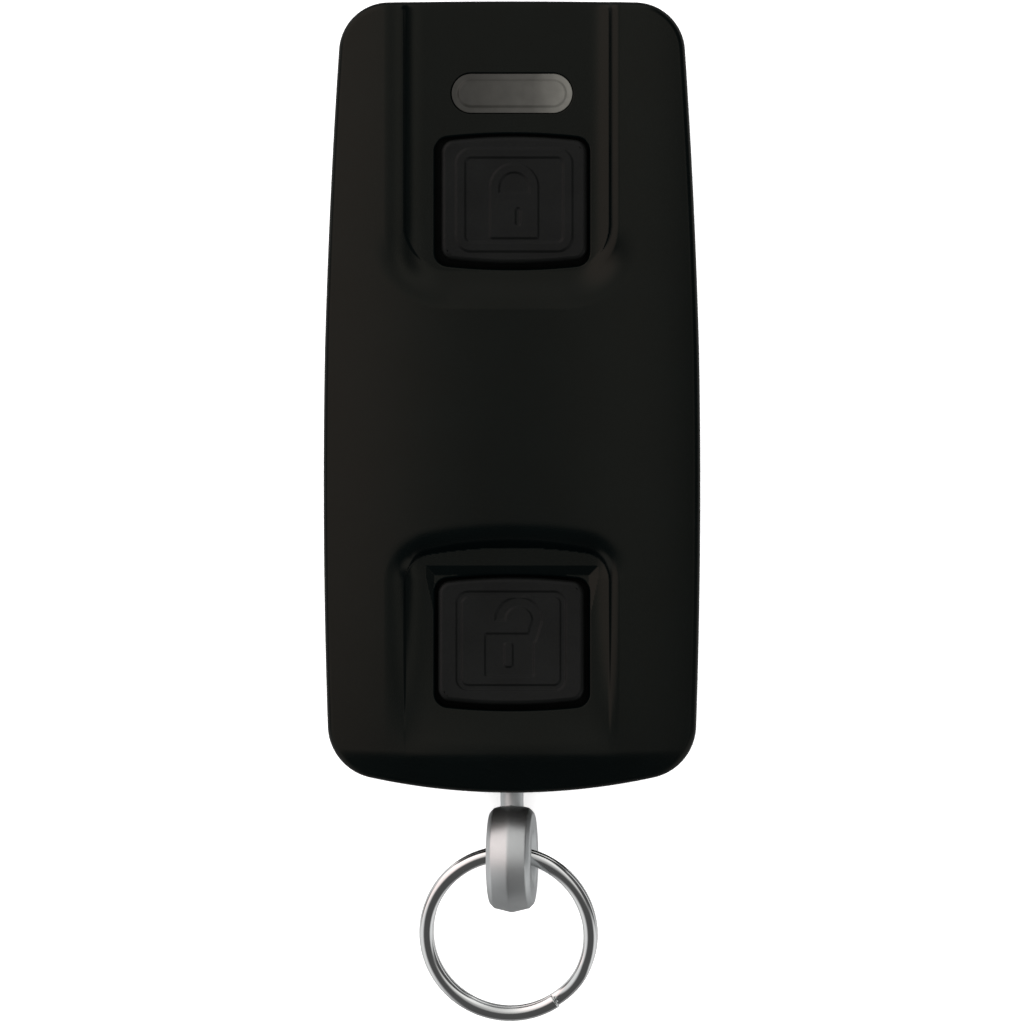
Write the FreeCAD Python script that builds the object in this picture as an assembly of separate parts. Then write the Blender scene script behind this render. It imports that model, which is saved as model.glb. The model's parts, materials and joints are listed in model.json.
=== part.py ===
"""Smart lock remote: two-button key fob with a swivel eye and a split key ring.

The remote lies on its back. Millimetres, +X to the right, +Y towards the top end of the remote,
+Z towards the viewer. The origin is the centre of the flat rear face.
"""
import FreeCAD, Part
import math
import os

from FreeCAD import Vector

# How far a cutting shape reaches past what it cuts, and the same for the large ones
past = 1.0
far_past = 4.0

# Housing plan, read from above
housing_length = 72.0
housing_width = 34.2
kink_y = 4.3
kink_inset = 0.08
top_inset = 1.65
bottom_inset = 0.47
upper_side_bulge = 0.18
top_end_crown = 0.2
bottom_end_crown = 2.3
top_corner_radius = 4.55
bottom_corner_radius = 4.9

# Crown of the front face
crest_y = -2.0
crown_across_radius = 65.0
crown_along_radius = 432.0
end_bevel_from_bottom = 3.3
end_bevel_angle = 12.5

# Walls of the two covers
side_wall = 1.6
cover_wall = 1.4
rear_wall = 1.4
rear_edge_bevel = 1.2
tongue_height = 0.8
tongue_clearance = 0.08
shadow_gap = 0.25

# Finger channel, open at the top end, and finger pocket, which runs out at the bottom end
recess_width = 18.0
recess_floor_radius = 125.0
recess_corner_radius = 2.0
recess_wall_run = 1.0
recess_edge_radius = 0.5
recess_backing_share = 0.6
channel_depth = 1.7
channel_end_from_top = 24.6
channel_end_run = 1.5
pocket_top_from_bottom = 22.0
pocket_top_bulge = 0.9
pocket_low_from_bottom = 19.0
pocket_runout_from_bottom = 4.0

# Button apertures and caps
lock_from_top = 18.26
unlock_from_bottom = 13.65
aperture_width = 14.0
aperture_length = 12.3
aperture_bulge = 0.45
aperture_corner_radius = 1.2
button_gap = 0.5
button_proud = 0.45
button_edge_bevel = 0.4
button_travel = 0.3
frame_width = 9.6
frame_length = 8.8
frame_corner_radius = 1.3
ridge_width = 0.7
ridge_height = 0.2
groove_width = 0.4
groove_depth = 0.15
flange_lap = 0.5
flange_thickness = 0.6
flange_play = 0.1
guide_clearance = 0.12
guide_wall = 0.8
seat_wall = 1.1
nub_width = 2.6
nub_height = 0.15

# Indicator window, its light guide and light
window_from_top = 8.4
window_length = 11.1
window_width = 3.7
window_thickness = 0.6
window_clearance = 0.06
window_rim = 0.65
window_sunk = 0.05
window_raised = 0.15
light_guide_length = 6.0
light_guide_width = 1.6
light_guide_lap = 0.7
light_guide_flange_thickness = 0.4
window_pad_depth = 0.3
window_pad_margin = 0.5
light_gap = 0.1

# Circuit board and what is soldered to it
board_thickness = 0.8
board_clearance = 0.6
board_past_switch = 3.4
pin_radius = 0.6
pin_clearance = 0.05
pillar_width = 2.4
pillar_inset = 1.9
pillar_past_unlock = 9.0
pillar_past_lock = 9.6
pin_past_board = 0.3
switch_size = 5.2
switch_base_height = 1.0
switch_cover_thickness = 0.15
switch_cover_drop = 0.6
switch_plunger_radius = 1.2
switch_floor = 0.3
switch_plunger_proud = 0.4
switch_clearance = 0.05
light_size = 1.6
light_height = 0.6
radio_chip_size = 5.0
radio_chip_height = 0.9
crystal_length = 3.2
crystal_width = 2.5
crystal_height = 0.8
crystal_gap = 2.4
antenna_length = 7.0
antenna_width = 2.0
antenna_height = 1.0
chip_length = 1.0
chip_width = 0.5
chip_height = 0.4
chip_pitch = 1.6
chip_count = 6
chip_row_gap = 0.7

# Coin cell and its contacts
cell_diameter = 20.0
cell_height = 3.2
cell_frame_clearance = 0.3
cell_frame_wall = 1.0
contact_gap = 1.2
strip_thickness = 0.2
clip_width = 4.0
clip_clearance = 0.03
clip_slot_clearance = 0.2
contact_width = 3.0
contact_reach = 4.0

# Case screws at the bottom end
screw_from_bottom = 6.0
screw_from_side = 7.0
screw_radius = 1.0
screw_clearance = 0.1
screw_thread_clearance = 0.02
screw_end_room = 0.5
screw_head_radius = 1.9
screw_head_height = 1.3
screw_head_sunk = 0.5
screw_head_clearance = 0.2
screw_bite = 3.5
boss_wall = 1.6

# Swivel post, eye and key ring
post_radius = 1.05
post_clearance = 0.05
post_socket_clearance = 0.02
post_head_radius = 2.0
post_head_length = 1.0
post_head_clearance = 0.1
post_backing = 1.0
cradle_wall = 1.4
post_visible = 1.05
post_in_eye = 1.2
eye_diameter = 9.92
eye_thickness = 4.05
eye_facet = 1.6
eye_facet_drop = 0.38
eye_bevel_drop = 0.45
eye_hole_diameter = 3.8
eye_mouth = 0.75
eye_turn = 5.5
floor_clearance = 0.24
ring_diameter = 16.3
ring_wire_width = 1.27
ring_wire_height = 0.75
ring_turn_gap = 0.42
ring_start_angle = -55.0
ring_step_angle = 33.0
ring_end_setback = 7.5
ring_slide = -0.48
ring_pull = 0.4
ring_drop = 0.1
ring_floor_gap = 0.3
ring_turn_arcs = 4
ring_gap_points = 720
ring_gap_skip = 60

# Levels, stacked from the rear face upwards
parting_z = eye_diameter / 2 + floor_clearance
cell_z = rear_wall + strip_thickness
board_z = cell_z + cell_height + contact_gap
board_top_z = board_z + board_thickness
plunger_top_z = board_top_z + switch_base_height + switch_cover_thickness + switch_plunger_proud
flange_z = plunger_top_z + nub_height
seat_z = flange_z + flange_thickness + flange_play

# Places along the length
top_y = housing_length / 2
bottom_y = -housing_length / 2
lock_y = top_y - lock_from_top
unlock_y = bottom_y + unlock_from_bottom
window_y = top_y - window_from_top
end_bevel_y = bottom_y + end_bevel_from_bottom
cell_y = (lock_y + unlock_y) / 2
antenna_y = top_y - top_end_crown - side_wall - board_clearance - antenna_width


def arc_drop(radius, distance):
    """How far an arc falls away from its tangent at a distance from the tangent point."""
    return radius - math.sqrt(radius ** 2 - distance ** 2)


crest_z = seat_z + seat_wall + channel_depth + arc_drop(crown_along_radius, lock_y - crest_y)
crown_axis = Vector(0, crest_y, crest_z - crown_along_radius)


def crown_z(y):
    """Height of the crown's centre line."""
    return crest_z - arc_drop(crown_along_radius, y - crest_y)


channel_end_y = top_y - channel_end_from_top
channel_middle_y = (channel_end_y + top_y) / 2
channel_base_z = crown_z(channel_middle_y) - channel_depth
pocket_high_y = bottom_y + pocket_top_from_bottom
pocket_low_y = bottom_y + pocket_low_from_bottom
pocket_runout_y = bottom_y + pocket_runout_from_bottom
pocket_floor_z = crown_z(pocket_runout_y) - arc_drop(recess_floor_radius, pocket_low_y - pocket_runout_y)
window_seat_z = crown_z(window_y) - channel_depth - window_thickness
window_pad_z = crown_z(window_y) - channel_depth - cover_wall - window_pad_depth


def three_point_arc(start, middle, end):
    return Part.Arc(start, middle, end).toShape()


def at_level(face, z):
    """A copy of a face drawn at the origin's level, moved to height z."""
    copy = face.copy()
    copy.translate(Vector(0, 0, z - face.BoundBox.ZMin))
    return copy


def prism(face, low_z, high_z):
    return at_level(face, low_z).extrude(Vector(0, 0, high_z - low_z))


def upright(radius, x, y, low_z, high_z):
    return Part.makeCylinder(radius, high_z - low_z, Vector(x, y, low_z))


def block(width, length, x, y, low_z, high_z):
    """A box that is centred on x, y."""
    return Part.makeBox(width, length, high_z - low_z, Vector(x - width / 2, y - length / 2, low_z))


def true_arc(edge):
    """The same line, or the arc through the ends and middle of an edge that is round."""
    ends = [edge.valueAt(edge.FirstParameter), edge.valueAt(edge.LastParameter)]
    middle = edge.valueAt((edge.FirstParameter + edge.LastParameter) / 2)
    if middle.distanceToPoint((ends[0] + ends[1]) / 2) < 1e-6:
        return Part.makeLine(*ends)
    return three_point_arc(ends[0], middle, ends[1])


def rounded_face(edges, corners):
    """The face inside the edges, with each (point, radius) corner rounded to a true arc."""
    solid = Part.Face(Part.Wire(edges)).extrude(Vector(0, 0, 1))
    for point, radius in corners:
        upright_edges = [edge for edge in solid.Edges if stands_on(edge, point)]
        solid = solid.makeFillet(radius, upright_edges)
    flat = min(solid.Faces, key=lambda face: face.CenterOfMass.z)
    return Part.Face(Part.Wire([true_arc(edge) for edge in flat.OuterWire.OrderedEdges]))


def stands_on(edge, point):
    """True for an upright edge over the point."""
    feet = [Vector(vertex.X, vertex.Y, 0) for vertex in edge.Vertexes]
    return len(feet) == 2 and all(foot.distanceToPoint(point) < 1e-6 for foot in feet)


def bulged_face(width, low_y, high_y, low_bulge, high_bulge, radius):
    """A rounded rectangle whose two ends may bulge outwards as shallow arcs."""
    half = width / 2
    low_left = Vector(-half, low_y + low_bulge, 0)
    low_right = Vector(half, low_y + low_bulge, 0)
    high_left = Vector(-half, high_y - high_bulge, 0)
    high_right = Vector(half, high_y - high_bulge, 0)
    low_end = Part.makeLine(low_left, low_right)
    if low_bulge > 0:
        low_end = three_point_arc(low_left, Vector(0, low_y, 0), low_right)
    high_end = Part.makeLine(high_right, high_left)
    if high_bulge > 0:
        high_end = three_point_arc(high_right, Vector(0, high_y, 0), high_left)
    edges = [low_end, Part.makeLine(low_right, high_right), high_end, Part.makeLine(high_left, low_left)]
    return rounded_face(edges, [(corner, radius) for corner in (low_left, low_right, high_left, high_right)])


def button_face(width, length, y, bulge, radius):
    """The plan of an aperture, cap or frame, centred on a button."""
    return bulged_face(width, y - length / 2, y + length / 2, bulge, bulge, radius)


def housing_plan(inset=0):
    """Plan of the housing, or of a line inside it: bowed sides with a soft kink, and a crowned bottom end."""
    half = housing_width / 2 - inset
    top = Vector(half - top_inset, top_y - top_end_crown - inset, 0)
    kink = Vector(half - kink_inset, kink_y, 0)
    bottom = Vector(half - bottom_inset, bottom_y + bottom_end_crown + inset, 0)
    upper_middle = (top + kink) / 2 + Vector(upper_side_bulge, 0, 0)
    lower_middle = Vector(half, (kink.y + bottom.y) / 2, 0)
    mirror = [Vector(-point.x, point.y, 0) for point in (top, upper_middle, kink, lower_middle, bottom)]
    edges = [
        three_point_arc(mirror[0], Vector(0, top_y - inset, 0), top),
        three_point_arc(top, upper_middle, kink),
        three_point_arc(kink, lower_middle, bottom),
        three_point_arc(bottom, Vector(0, bottom_y + inset, 0), mirror[4]),
        three_point_arc(mirror[4], mirror[3], mirror[2]),
        three_point_arc(mirror[2], mirror[1], mirror[0]),
    ]
    corners = [(top, top_corner_radius - inset), (mirror[0], top_corner_radius - inset)]
    corners += [(bottom, bottom_corner_radius - inset), (mirror[4], bottom_corner_radius - inset)]
    return rounded_face(edges, corners)


def arched_section(y, crest, radius, far_z):
    """Upright face across the remote: an arc of signed radius on one side, a flat line at far_z."""
    half = housing_width / 2 + far_past
    edge_z = crest - math.copysign(arc_drop(abs(radius), half), radius)
    left = Vector(-half, y, edge_z)
    right = Vector(half, y, edge_z)
    far_left = Vector(-half, y, far_z)
    far_right = Vector(half, y, far_z)
    arch = three_point_arc(left, Vector(0, y, crest), right)
    corners = [right, far_right, far_left, left]
    sides = [Part.makeLine(start, end) for start, end in zip(corners, corners[1:])]
    return Part.Face(Part.Wire([arch] + sides))


def lengthwise_turn(face, axis_point, low_angle, high_angle):
    """Sweeps an upright section about an axis across the remote, between two angles in degrees."""
    start = face.copy()
    start.rotate(axis_point, Vector(1, 0, 0), low_angle)
    return start.revolve(axis_point, Vector(1, 0, 0), high_angle - low_angle)


def under_arch(y, rise, inward):
    """Everything under a straight arched surface that meets the crown's centre line at y.

    The surface rises by an angle towards the top end, and lies a wall's thickness inside that line.
    """
    section = arched_section(-housing_length, -inward, crown_across_radius - inward, -housing_length)
    run = section.extrude(Vector(0, 2 * housing_length, 0))
    run.rotate(Vector(0, 0, 0), Vector(1, 0, 0), rise)
    run.translate(Vector(0, y, crown_z(y)))
    return run


def end_bevel(inward):
    """Everything under the sloping band at the bottom end."""
    crown_rise = math.degrees(math.asin((crest_y - end_bevel_y) / crown_along_radius))
    return under_arch(end_bevel_y, crown_rise + end_bevel_angle, inward)


def crown_body():
    """Everything under the front face."""
    section = arched_section(crest_y, crest_z, crown_across_radius, -past)
    end_angle = math.degrees(math.asin((top_y + far_past - crest_y) / crown_along_radius))
    return lengthwise_turn(section, crown_axis, -end_angle, end_angle).common(end_bevel(0))


def inner_ceiling():
    """Everything under the front cover's inner side: two straight arched runs and the end band."""
    body = end_bevel(cover_wall)
    for far_y in (top_y, end_bevel_y):
        rise = math.degrees(math.atan((crest_z - crown_z(far_y)) / (crest_y - far_y)))
        body = body.common(under_arch(crest_y, rise, cover_wall))
    return body


def recess_walls(low_y, high_y, top_bulge, base_z, low_run):
    """Flaring walls of a recess: as wide as recess_width at base_z, and wider above it."""
    base = bulged_face(recess_width, low_y, high_y, 0, top_bulge, recess_corner_radius)
    spread = far_past * recess_wall_run
    rim = bulged_face(
        recess_width + 2 * spread, low_y - far_past * low_run, high_y + spread,
        0, top_bulge, recess_corner_radius + spread)
    wires = [at_level(base, base_z).OuterWire, at_level(rim, base_z + far_past).OuterWire]
    return Part.makeLoft(wires, True, True)


def recess_backing(low_y, high_y, low_z):
    """Space that a recess and the wall behind it take up inside the front cover."""
    width = recess_width + 2 * recess_backing_width(recess_wall_run)
    return block(width, high_y - low_y, 0, (low_y + high_y) / 2, low_z, crest_z)


def recess_backing_width(run):
    """How far the wall behind a sloping flank reaches past the flank's foot."""
    return cover_wall * (run + recess_backing_share)


def channel_floor(lift):
    """Everything above the floor of the finger channel, or above that floor lifted."""
    ceiling_z = crest_z + 2 * far_past
    section = arched_section(crest_y, crest_z - channel_depth + lift, -recess_floor_radius, ceiling_z)
    top_angle = math.degrees(math.asin((top_y + 2 * far_past - crest_y) / crown_along_radius))
    return lengthwise_turn(section, crown_axis, -top_angle, 0)


def along_channel(shape):
    """Tilts a level form to the crown's slope at the middle of the channel."""
    slope = math.degrees(math.asin((channel_middle_y - crest_y) / crown_along_radius))
    shape.rotate(Vector(0, channel_middle_y, channel_base_z), Vector(1, 0, 0), -slope)
    return shape


def channel_tool():
    """The finger channel: an open-ended trough that follows the crown."""
    walls = recess_walls(channel_end_y, top_y + 2 * far_past, 0, channel_base_z, channel_end_run)
    return along_channel(walls).common(channel_floor(0))


def channel_backing():
    low_y = channel_end_y - recess_backing_width(channel_end_run)
    return along_channel(recess_backing(low_y, top_y + far_past, channel_base_z - cover_wall))


def pocket_floor(lift):
    """Everything above the dished floor of the finger pocket, or above that floor lifted: part of a ball."""
    centre = Vector(0, pocket_low_y, pocket_floor_z + recess_floor_radius)
    ball = Part.makeSphere(recess_floor_radius - lift, centre, Vector(1, 0, 0))
    ball.rotate(centre, Vector(1, 0, 0), 90)
    low_z = pocket_floor_z - 2 * cover_wall
    return ball.common(block(housing_width, housing_length, 0, pocket_low_y, low_z, crest_z + 2 * far_past))


def pocket_tool():
    """The finger pocket: a dish whose floor runs out into the crown at its lower end."""
    walls = recess_walls(
        pocket_runout_y - far_past, pocket_high_y, pocket_top_bulge, pocket_floor_z, recess_wall_run)
    return walls.common(pocket_floor(0))


def pocket_backing():
    high_y = pocket_high_y + recess_backing_width(recess_wall_run)
    return recess_backing(pocket_runout_y, high_y, pocket_floor_z - cover_wall)


def aperture(y):
    face = button_face(aperture_width, aperture_length, y, aperture_bulge, aperture_corner_radius)
    return prism(face, seat_z - past, crest_z + past)


def flange_width():
    return aperture_width + 2 * flange_lap


def flange_length():
    return aperture_length + 2 * flange_lap


def button_guide(y):
    """Ceiling pad and square guide that hold a button's flange and press on the board."""
    outer_width = flange_width() + 2 * (guide_clearance + guide_wall)
    outer_length = flange_length() + 2 * (guide_clearance + guide_wall)
    inner_width = flange_width() + 2 * guide_clearance
    inner_length = flange_length() + 2 * guide_clearance
    guide = block(outer_width, outer_length, 0, y, board_top_z, crest_z)
    return guide.cut(block(inner_width, inner_length, 0, y, board_top_z - past, seat_z))


def window_pad():
    """Flat seat for the light guide under the indicator window."""
    width = window_width + 2 * window_pad_margin
    return block(window_length, width, 0, window_y, window_pad_z, window_seat_z + past)


def stadium(length, width, y, low_z, high_z):
    radius = width / 2
    straight = length - width
    middle = block(straight, width, 0, y, low_z, high_z)
    ends = [upright(radius, side * straight / 2, y, low_z, high_z) for side in (-1, 1)]
    return middle.fuse(ends).removeSplitter()


def screw_places():
    side = housing_width / 2 - screw_from_side
    return [Vector(sign * side, bottom_y + screw_from_bottom, 0) for sign in (-1, 1)]


def screw_boss(place, low_z, high_z):
    width = 2 * (screw_radius + screw_clearance + boss_wall)
    return block(width, width, place.x, place.y, low_z, high_z)


def along_post(radius, near_y, far_y):
    """A cylinder on the swivel post's axis, between two places along the length."""
    return Part.makeCylinder(radius, far_y - near_y, Vector(0, near_y, parting_z), Vector(0, 1, 0))


def head_y():
    """Place of the post head's outer face, against the end wall."""
    return bottom_y + side_wall + post_head_clearance


def swivel_cradle(low_z, high_z):
    """Block at the bottom end that carries the post and holds its head."""
    inner_y = head_y() + post_head_length + post_head_clearance + post_backing
    length = inner_y - bottom_y
    width = 2 * (post_head_radius + post_head_clearance + cradle_wall)
    return block(width, length, 0, bottom_y + length / 2, low_z, high_z)


def post_space():
    """Bore and head pocket of the swivel post, open to both covers."""
    bore = along_post(post_radius + post_clearance, bottom_y - past, head_y())
    pocket = along_post(
        post_head_radius + post_head_clearance, head_y() - post_head_clearance,
        head_y() + post_head_length + post_head_clearance)
    return bore.fuse(pocket)


def tongue(low_z, high_z, outset):
    """Ring inside the parting line that keys the two covers together."""
    outer = prism(housing_plan(side_wall / 2 - outset), low_z, high_z)
    inner = prism(housing_plan(side_wall), low_z - past, high_z + past)
    return outer.cut(inner)


def crown_height(x, y):
    fall = arc_drop(crown_across_radius, abs(x))
    return crown_axis.z + math.sqrt((crown_along_radius - fall) ** 2 - (y - crest_y) ** 2)


def is_recess_edge(edge):
    """True for an edge where a recess meets the crown, short of the top end and the pocket's run-out."""
    reach = recess_width / 2 + far_past
    for step in (0, 0.25, 0.5, 0.75, 1):
        point = edge.valueAt(edge.FirstParameter + step * (edge.LastParameter - edge.FirstParameter))
        if abs(point.x) > reach or abs(point.z - crown_height(point.x, point.y)) > 0.01:
            return False
    middle = edge.valueAt((edge.FirstParameter + edge.LastParameter) / 2)
    return pocket_runout_y + recess_corner_radius < middle.y < top_y + far_past


def front_shell():
    """Outer form of the front cover: crown, and two recesses with soft edges."""
    relief = crown_body().cut([channel_tool(), pocket_tool()])
    relief = relief.makeFillet(recess_edge_radius, [edge for edge in relief.Edges if is_recess_edge(edge)])
    return prism(housing_plan(), parting_z, crest_z + past).common(relief)


def front_cavity():
    """Room inside the front cover, one wall inside its outer face and its recesses."""
    room = prism(housing_plan(side_wall), parting_z - past, crest_z).common(inner_ceiling())
    return room.cut([channel_backing(), pocket_backing()])


def front_cover():
    shell = front_shell()
    cavity = front_cavity()
    inside = [button_guide(y) for y in (lock_y, unlock_y)] + [window_pad(), swivel_cradle(parting_z, crest_z)]
    inside += [screw_boss(place, parting_z, crest_z) for place in screw_places()]
    kept = [piece.common(cavity) for piece in inside]
    cover = shell.cut(cavity).fuse(kept)
    cuts = [aperture(lock_y), aperture(unlock_y), post_space(), window_recess()]
    cuts.append(block(
        light_guide_length + 2 * window_clearance, light_guide_width + 2 * window_clearance, 0, window_y,
        parting_z, crest_z))
    cuts.append(tongue(parting_z - past, parting_z + tongue_height + tongue_clearance, 0))
    gap = prism(housing_plan(-past), parting_z, parting_z + shadow_gap)
    cuts.append(gap.cut(prism(housing_plan(shadow_gap), parting_z - past, crest_z)))
    hole_top_z = parting_z + screw_bite + screw_end_room
    for place in screw_places():
        radius = screw_radius + screw_thread_clearance
        cuts.append(upright(radius, place.x, place.y, parting_z - past, hole_top_z))
    for y in (lock_y, unlock_y):
        inner_width = flange_width() + 2 * guide_clearance
        inner_length = flange_length() + 2 * guide_clearance
        cuts.append(block(inner_width, inner_length, 0, y, parting_z - past, seat_z))
    return cover.cut(cuts)


def window_recess():
    return stadium(window_length, window_width, window_y, window_seat_z, crest_z + past)


def indicator_window():
    """Smoke-grey inlay: a flat rim and a slightly raised field that follow the channel floor."""
    length = window_length - 2 * window_clearance
    width = window_width - 2 * window_clearance
    rim = stadium(length, width, window_y, window_seat_z, crest_z).cut(channel_floor(-window_sunk))
    field = stadium(length - 2 * window_rim, width - 2 * window_rim, window_y, window_seat_z, crest_z)
    return rim.fuse(field.cut(channel_floor(window_raised))).removeSplitter()


def button(y, floor, is_raised):
    """Rubbery cap, captive flange and nub; the frame round its sign is a ridge or a groove."""
    width = aperture_width - 2 * button_gap
    length = aperture_length - 2 * button_gap
    face = button_face(width, length, y, aperture_bulge, aperture_corner_radius)
    cap = prism(face, flange_z, crest_z).cut(floor(button_proud))
    top = max(cap.Faces, key=lambda side: side.CenterOfMass.z)
    cap = cap.makeChamfer(button_edge_bevel, top.Edges)
    flange = prism(
        button_face(flange_width(), flange_length(), y, 0, aperture_corner_radius),
        flange_z, flange_z + flange_thickness)
    nub = block(nub_width, nub_width, 0, y, plunger_top_z, flange_z)
    line_width = ridge_width if is_raised else groove_width
    frame = button_face(frame_width, frame_length, y, 0, frame_corner_radius)
    field_width = frame_width - 2 * line_width
    field_length = frame_length - 2 * line_width
    field = button_face(field_width, field_length, y, 0, frame_corner_radius - line_width / 2)
    ring = prism(frame, flange_z + flange_thickness, crest_z).cut(prism(field, flange_z, crest_z + past))
    if is_raised:
        return cap.fuse([flange, nub, ring.cut(floor(button_proud + ridge_height))]).removeSplitter()
    return cap.fuse([flange, nub]).cut(ring.common(floor(button_proud - groove_depth))).removeSplitter()


def board_plan():
    inset = side_wall + board_clearance
    low_y = unlock_y - board_past_switch
    plan = prism(housing_plan(inset), board_z, board_top_z)
    keep_y = low_y + housing_length / 2
    keep = block(housing_width, housing_length, 0, keep_y, board_z - past, board_top_z + past)
    return plan.common(keep)


def pillar_places():
    """The board's four pillars, inside its corners. The first and the last carry pins."""
    half = housing_width / 2 - side_wall - board_clearance - top_inset - pillar_inset
    low = unlock_y + pillar_past_unlock
    high = lock_y + pillar_past_lock
    return [Vector(sign * half, y, 0) for sign in (-1, 1) for y in (low, high)]


def pin_places():
    places = pillar_places()
    return [places[0], places[-1]]


def circuit_board():
    holes = [
        upright(pin_radius + pin_clearance, place.x, place.y, board_z - past, board_top_z + past)
        for place in pin_places()]
    return board_plan().cut(holes)


def rear_cover():
    """Shallow tray with pillars, bosses, the cell's frame and the lower half of the post's seat."""
    tray = prism(housing_plan(), 0, parting_z)
    bottom = min(tray.Faces, key=lambda face: face.CenterOfMass.z)
    tray = tray.makeChamfer(rear_edge_bevel, bottom.Edges)
    room = prism(housing_plan(side_wall), rear_wall, parting_z + past)
    inside = [swivel_cradle(0, parting_z).common(room)]
    for place in screw_places():
        inside.append(screw_boss(place, rear_wall, parting_z))
    inner = cell_diameter + 2 * cell_frame_clearance
    outer = inner + 2 * cell_frame_wall
    frame = block(outer, outer, 0, cell_y, rear_wall, cell_z + cell_height)
    slot = block(outer + past, clip_width + 2 * clip_slot_clearance, 0, cell_y, 0, board_z)
    inside.append(frame.cut([block(inner, inner, 0, cell_y, 0, board_z), slot]))
    cover = tray.cut(room).fuse(inside).cut(prism(housing_plan(-past), parting_z, board_z))
    cover = cover.fuse(tongue(parting_z, parting_z + tongue_height, -tongue_clearance))
    for place in pillar_places():
        cover = cover.fuse(block(pillar_width, pillar_width, place.x, place.y, rear_wall, board_z))
    for place in pin_places():
        cover = cover.fuse(upright(pin_radius, place.x, place.y, board_z, board_top_z + pin_past_board))
    cuts = [post_space()]
    for place in screw_places():
        cuts.append(upright(screw_radius + screw_clearance, place.x, place.y, -past, parting_z + past))
        sink = screw_head_height + screw_head_sunk
        cuts.append(upright(screw_head_radius + screw_head_clearance, place.x, place.y, -past, sink))
    return cover.cut(cuts).removeSplitter()


def case_screws():
    """Two pan-head screws that rise from the rear cover into the front cover's bosses."""
    screws = []
    for place in screw_places():
        seat = screw_head_sunk + screw_head_height
        shank = upright(screw_radius, place.x, place.y, seat, parting_z + screw_bite)
        head = upright(screw_head_radius, place.x, place.y, screw_head_sunk, seat)
        screws.append(shank.fuse(head).removeSplitter())
    return Part.makeCompound(screws)


def switch_body(y):
    base_top = board_top_z + switch_base_height
    base = block(switch_size, switch_size, 0, y, board_top_z, base_top)
    well = switch_plunger_radius + switch_clearance
    return base.cut(upright(well, 0, y, board_top_z + switch_floor, base_top + past))


def plunger_low_z():
    return board_top_z + switch_floor + button_travel + switch_clearance


def switch_cover(y):
    """Thin metal lid with two side flaps that clips over the base."""
    low_z = board_top_z + switch_base_height
    lid = block(switch_size, switch_size, 0, y, low_z, low_z + switch_cover_thickness)
    lid = lid.cut(upright(switch_plunger_radius + switch_clearance, 0, y, low_z - past, low_z + past))
    for sign in (-1, 1):
        flap_x = sign * (switch_size + switch_cover_thickness) / 2
        flap = block(
            switch_cover_thickness, switch_size / 2, flap_x, y,
            low_z - switch_cover_drop, low_z + switch_cover_thickness)
        lid = lid.fuse(flap)
    return lid.removeSplitter()


def switch_plunger(y):
    """Plain round plunger that stands on the snap dome's place in the base."""
    return upright(switch_plunger_radius, 0, y, plunger_low_z(), plunger_top_z)


def light_guide():
    """Clear bar that carries the light up to the window; its flange sits under the window's floor."""
    low_z = board_top_z + light_height + light_gap
    stem = block(light_guide_length, light_guide_width, 0, window_y, low_z, window_seat_z)
    flange_low_z = window_pad_z - light_guide_flange_thickness
    length = light_guide_length + 2 * light_guide_lap
    width = light_guide_width + 2 * light_guide_lap
    return stem.fuse(block(length, width, 0, window_y, flange_low_z, window_pad_z)).removeSplitter()


def on_board(length, width, height, x, y):
    """A chip that sits on top of the board."""
    return block(length, width, x, y, board_top_z, board_top_z + height)


def chip_components():
    middle_y = (lock_y + unlock_y) / 2
    rows = []
    for row in (-1, 1):
        for index in range(chip_count):
            x = (index - (chip_count - 1) / 2) * chip_pitch
            y = middle_y + row * (radio_chip_size / 2 + chip_row_gap + chip_length / 2)
            rows.append(on_board(chip_width, chip_length, chip_height, x, y))
    return Part.makeCompound(rows)


def coin_cell():
    """Sealed cell as one plain solid."""
    return upright(cell_diameter / 2, 0, cell_y, cell_z, cell_z + cell_height)


def battery_clip_width():
    return cell_diameter + 2 * (clip_clearance + strip_thickness)


def battery_clip():
    """Bent strip that hangs from the board, goes under the cell and holds it up."""
    strap = block(battery_clip_width(), clip_width, 0, cell_y, rear_wall, board_z)
    inner_width = battery_clip_width() - 2 * strip_thickness
    return strap.cut(block(inner_width, clip_width + past, 0, cell_y, cell_z, board_z + past))


def battery_contact():
    """Leaf spring between the board and the cell's cap."""
    low_z = cell_z + cell_height
    half = contact_reach / 2
    foot = block(contact_reach, contact_width, 0, cell_y, board_z - strip_thickness, board_z)
    toe = block(contact_reach, contact_width, 0, cell_y, low_z, low_z + strip_thickness)
    back = block(strip_thickness, contact_width, -half + strip_thickness / 2, cell_y, low_z, board_z)
    return foot.fuse([toe, back]).removeSplitter()


def swivel_post():
    """Turned stud: head inside the housing, shank through its end wall into the eye."""
    end_y = bottom_y - post_visible - post_in_eye
    shank = along_post(post_radius, end_y, head_y() + post_head_length)
    head = along_post(post_head_radius, head_y(), head_y() + post_head_length)
    return shank.fuse(head).removeSplitter()


def eye_centre():
    return Vector(0, bottom_y - post_visible - eye_diameter / 2, parting_z)


def turned_about_post(shape):
    """Turns the eye, or what hangs in it, about the post's axis by its angle in the photograph."""
    turned = shape.copy()
    turned.rotate(eye_centre(), Vector(0, 1, 0), -eye_turn)
    return turned


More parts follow.
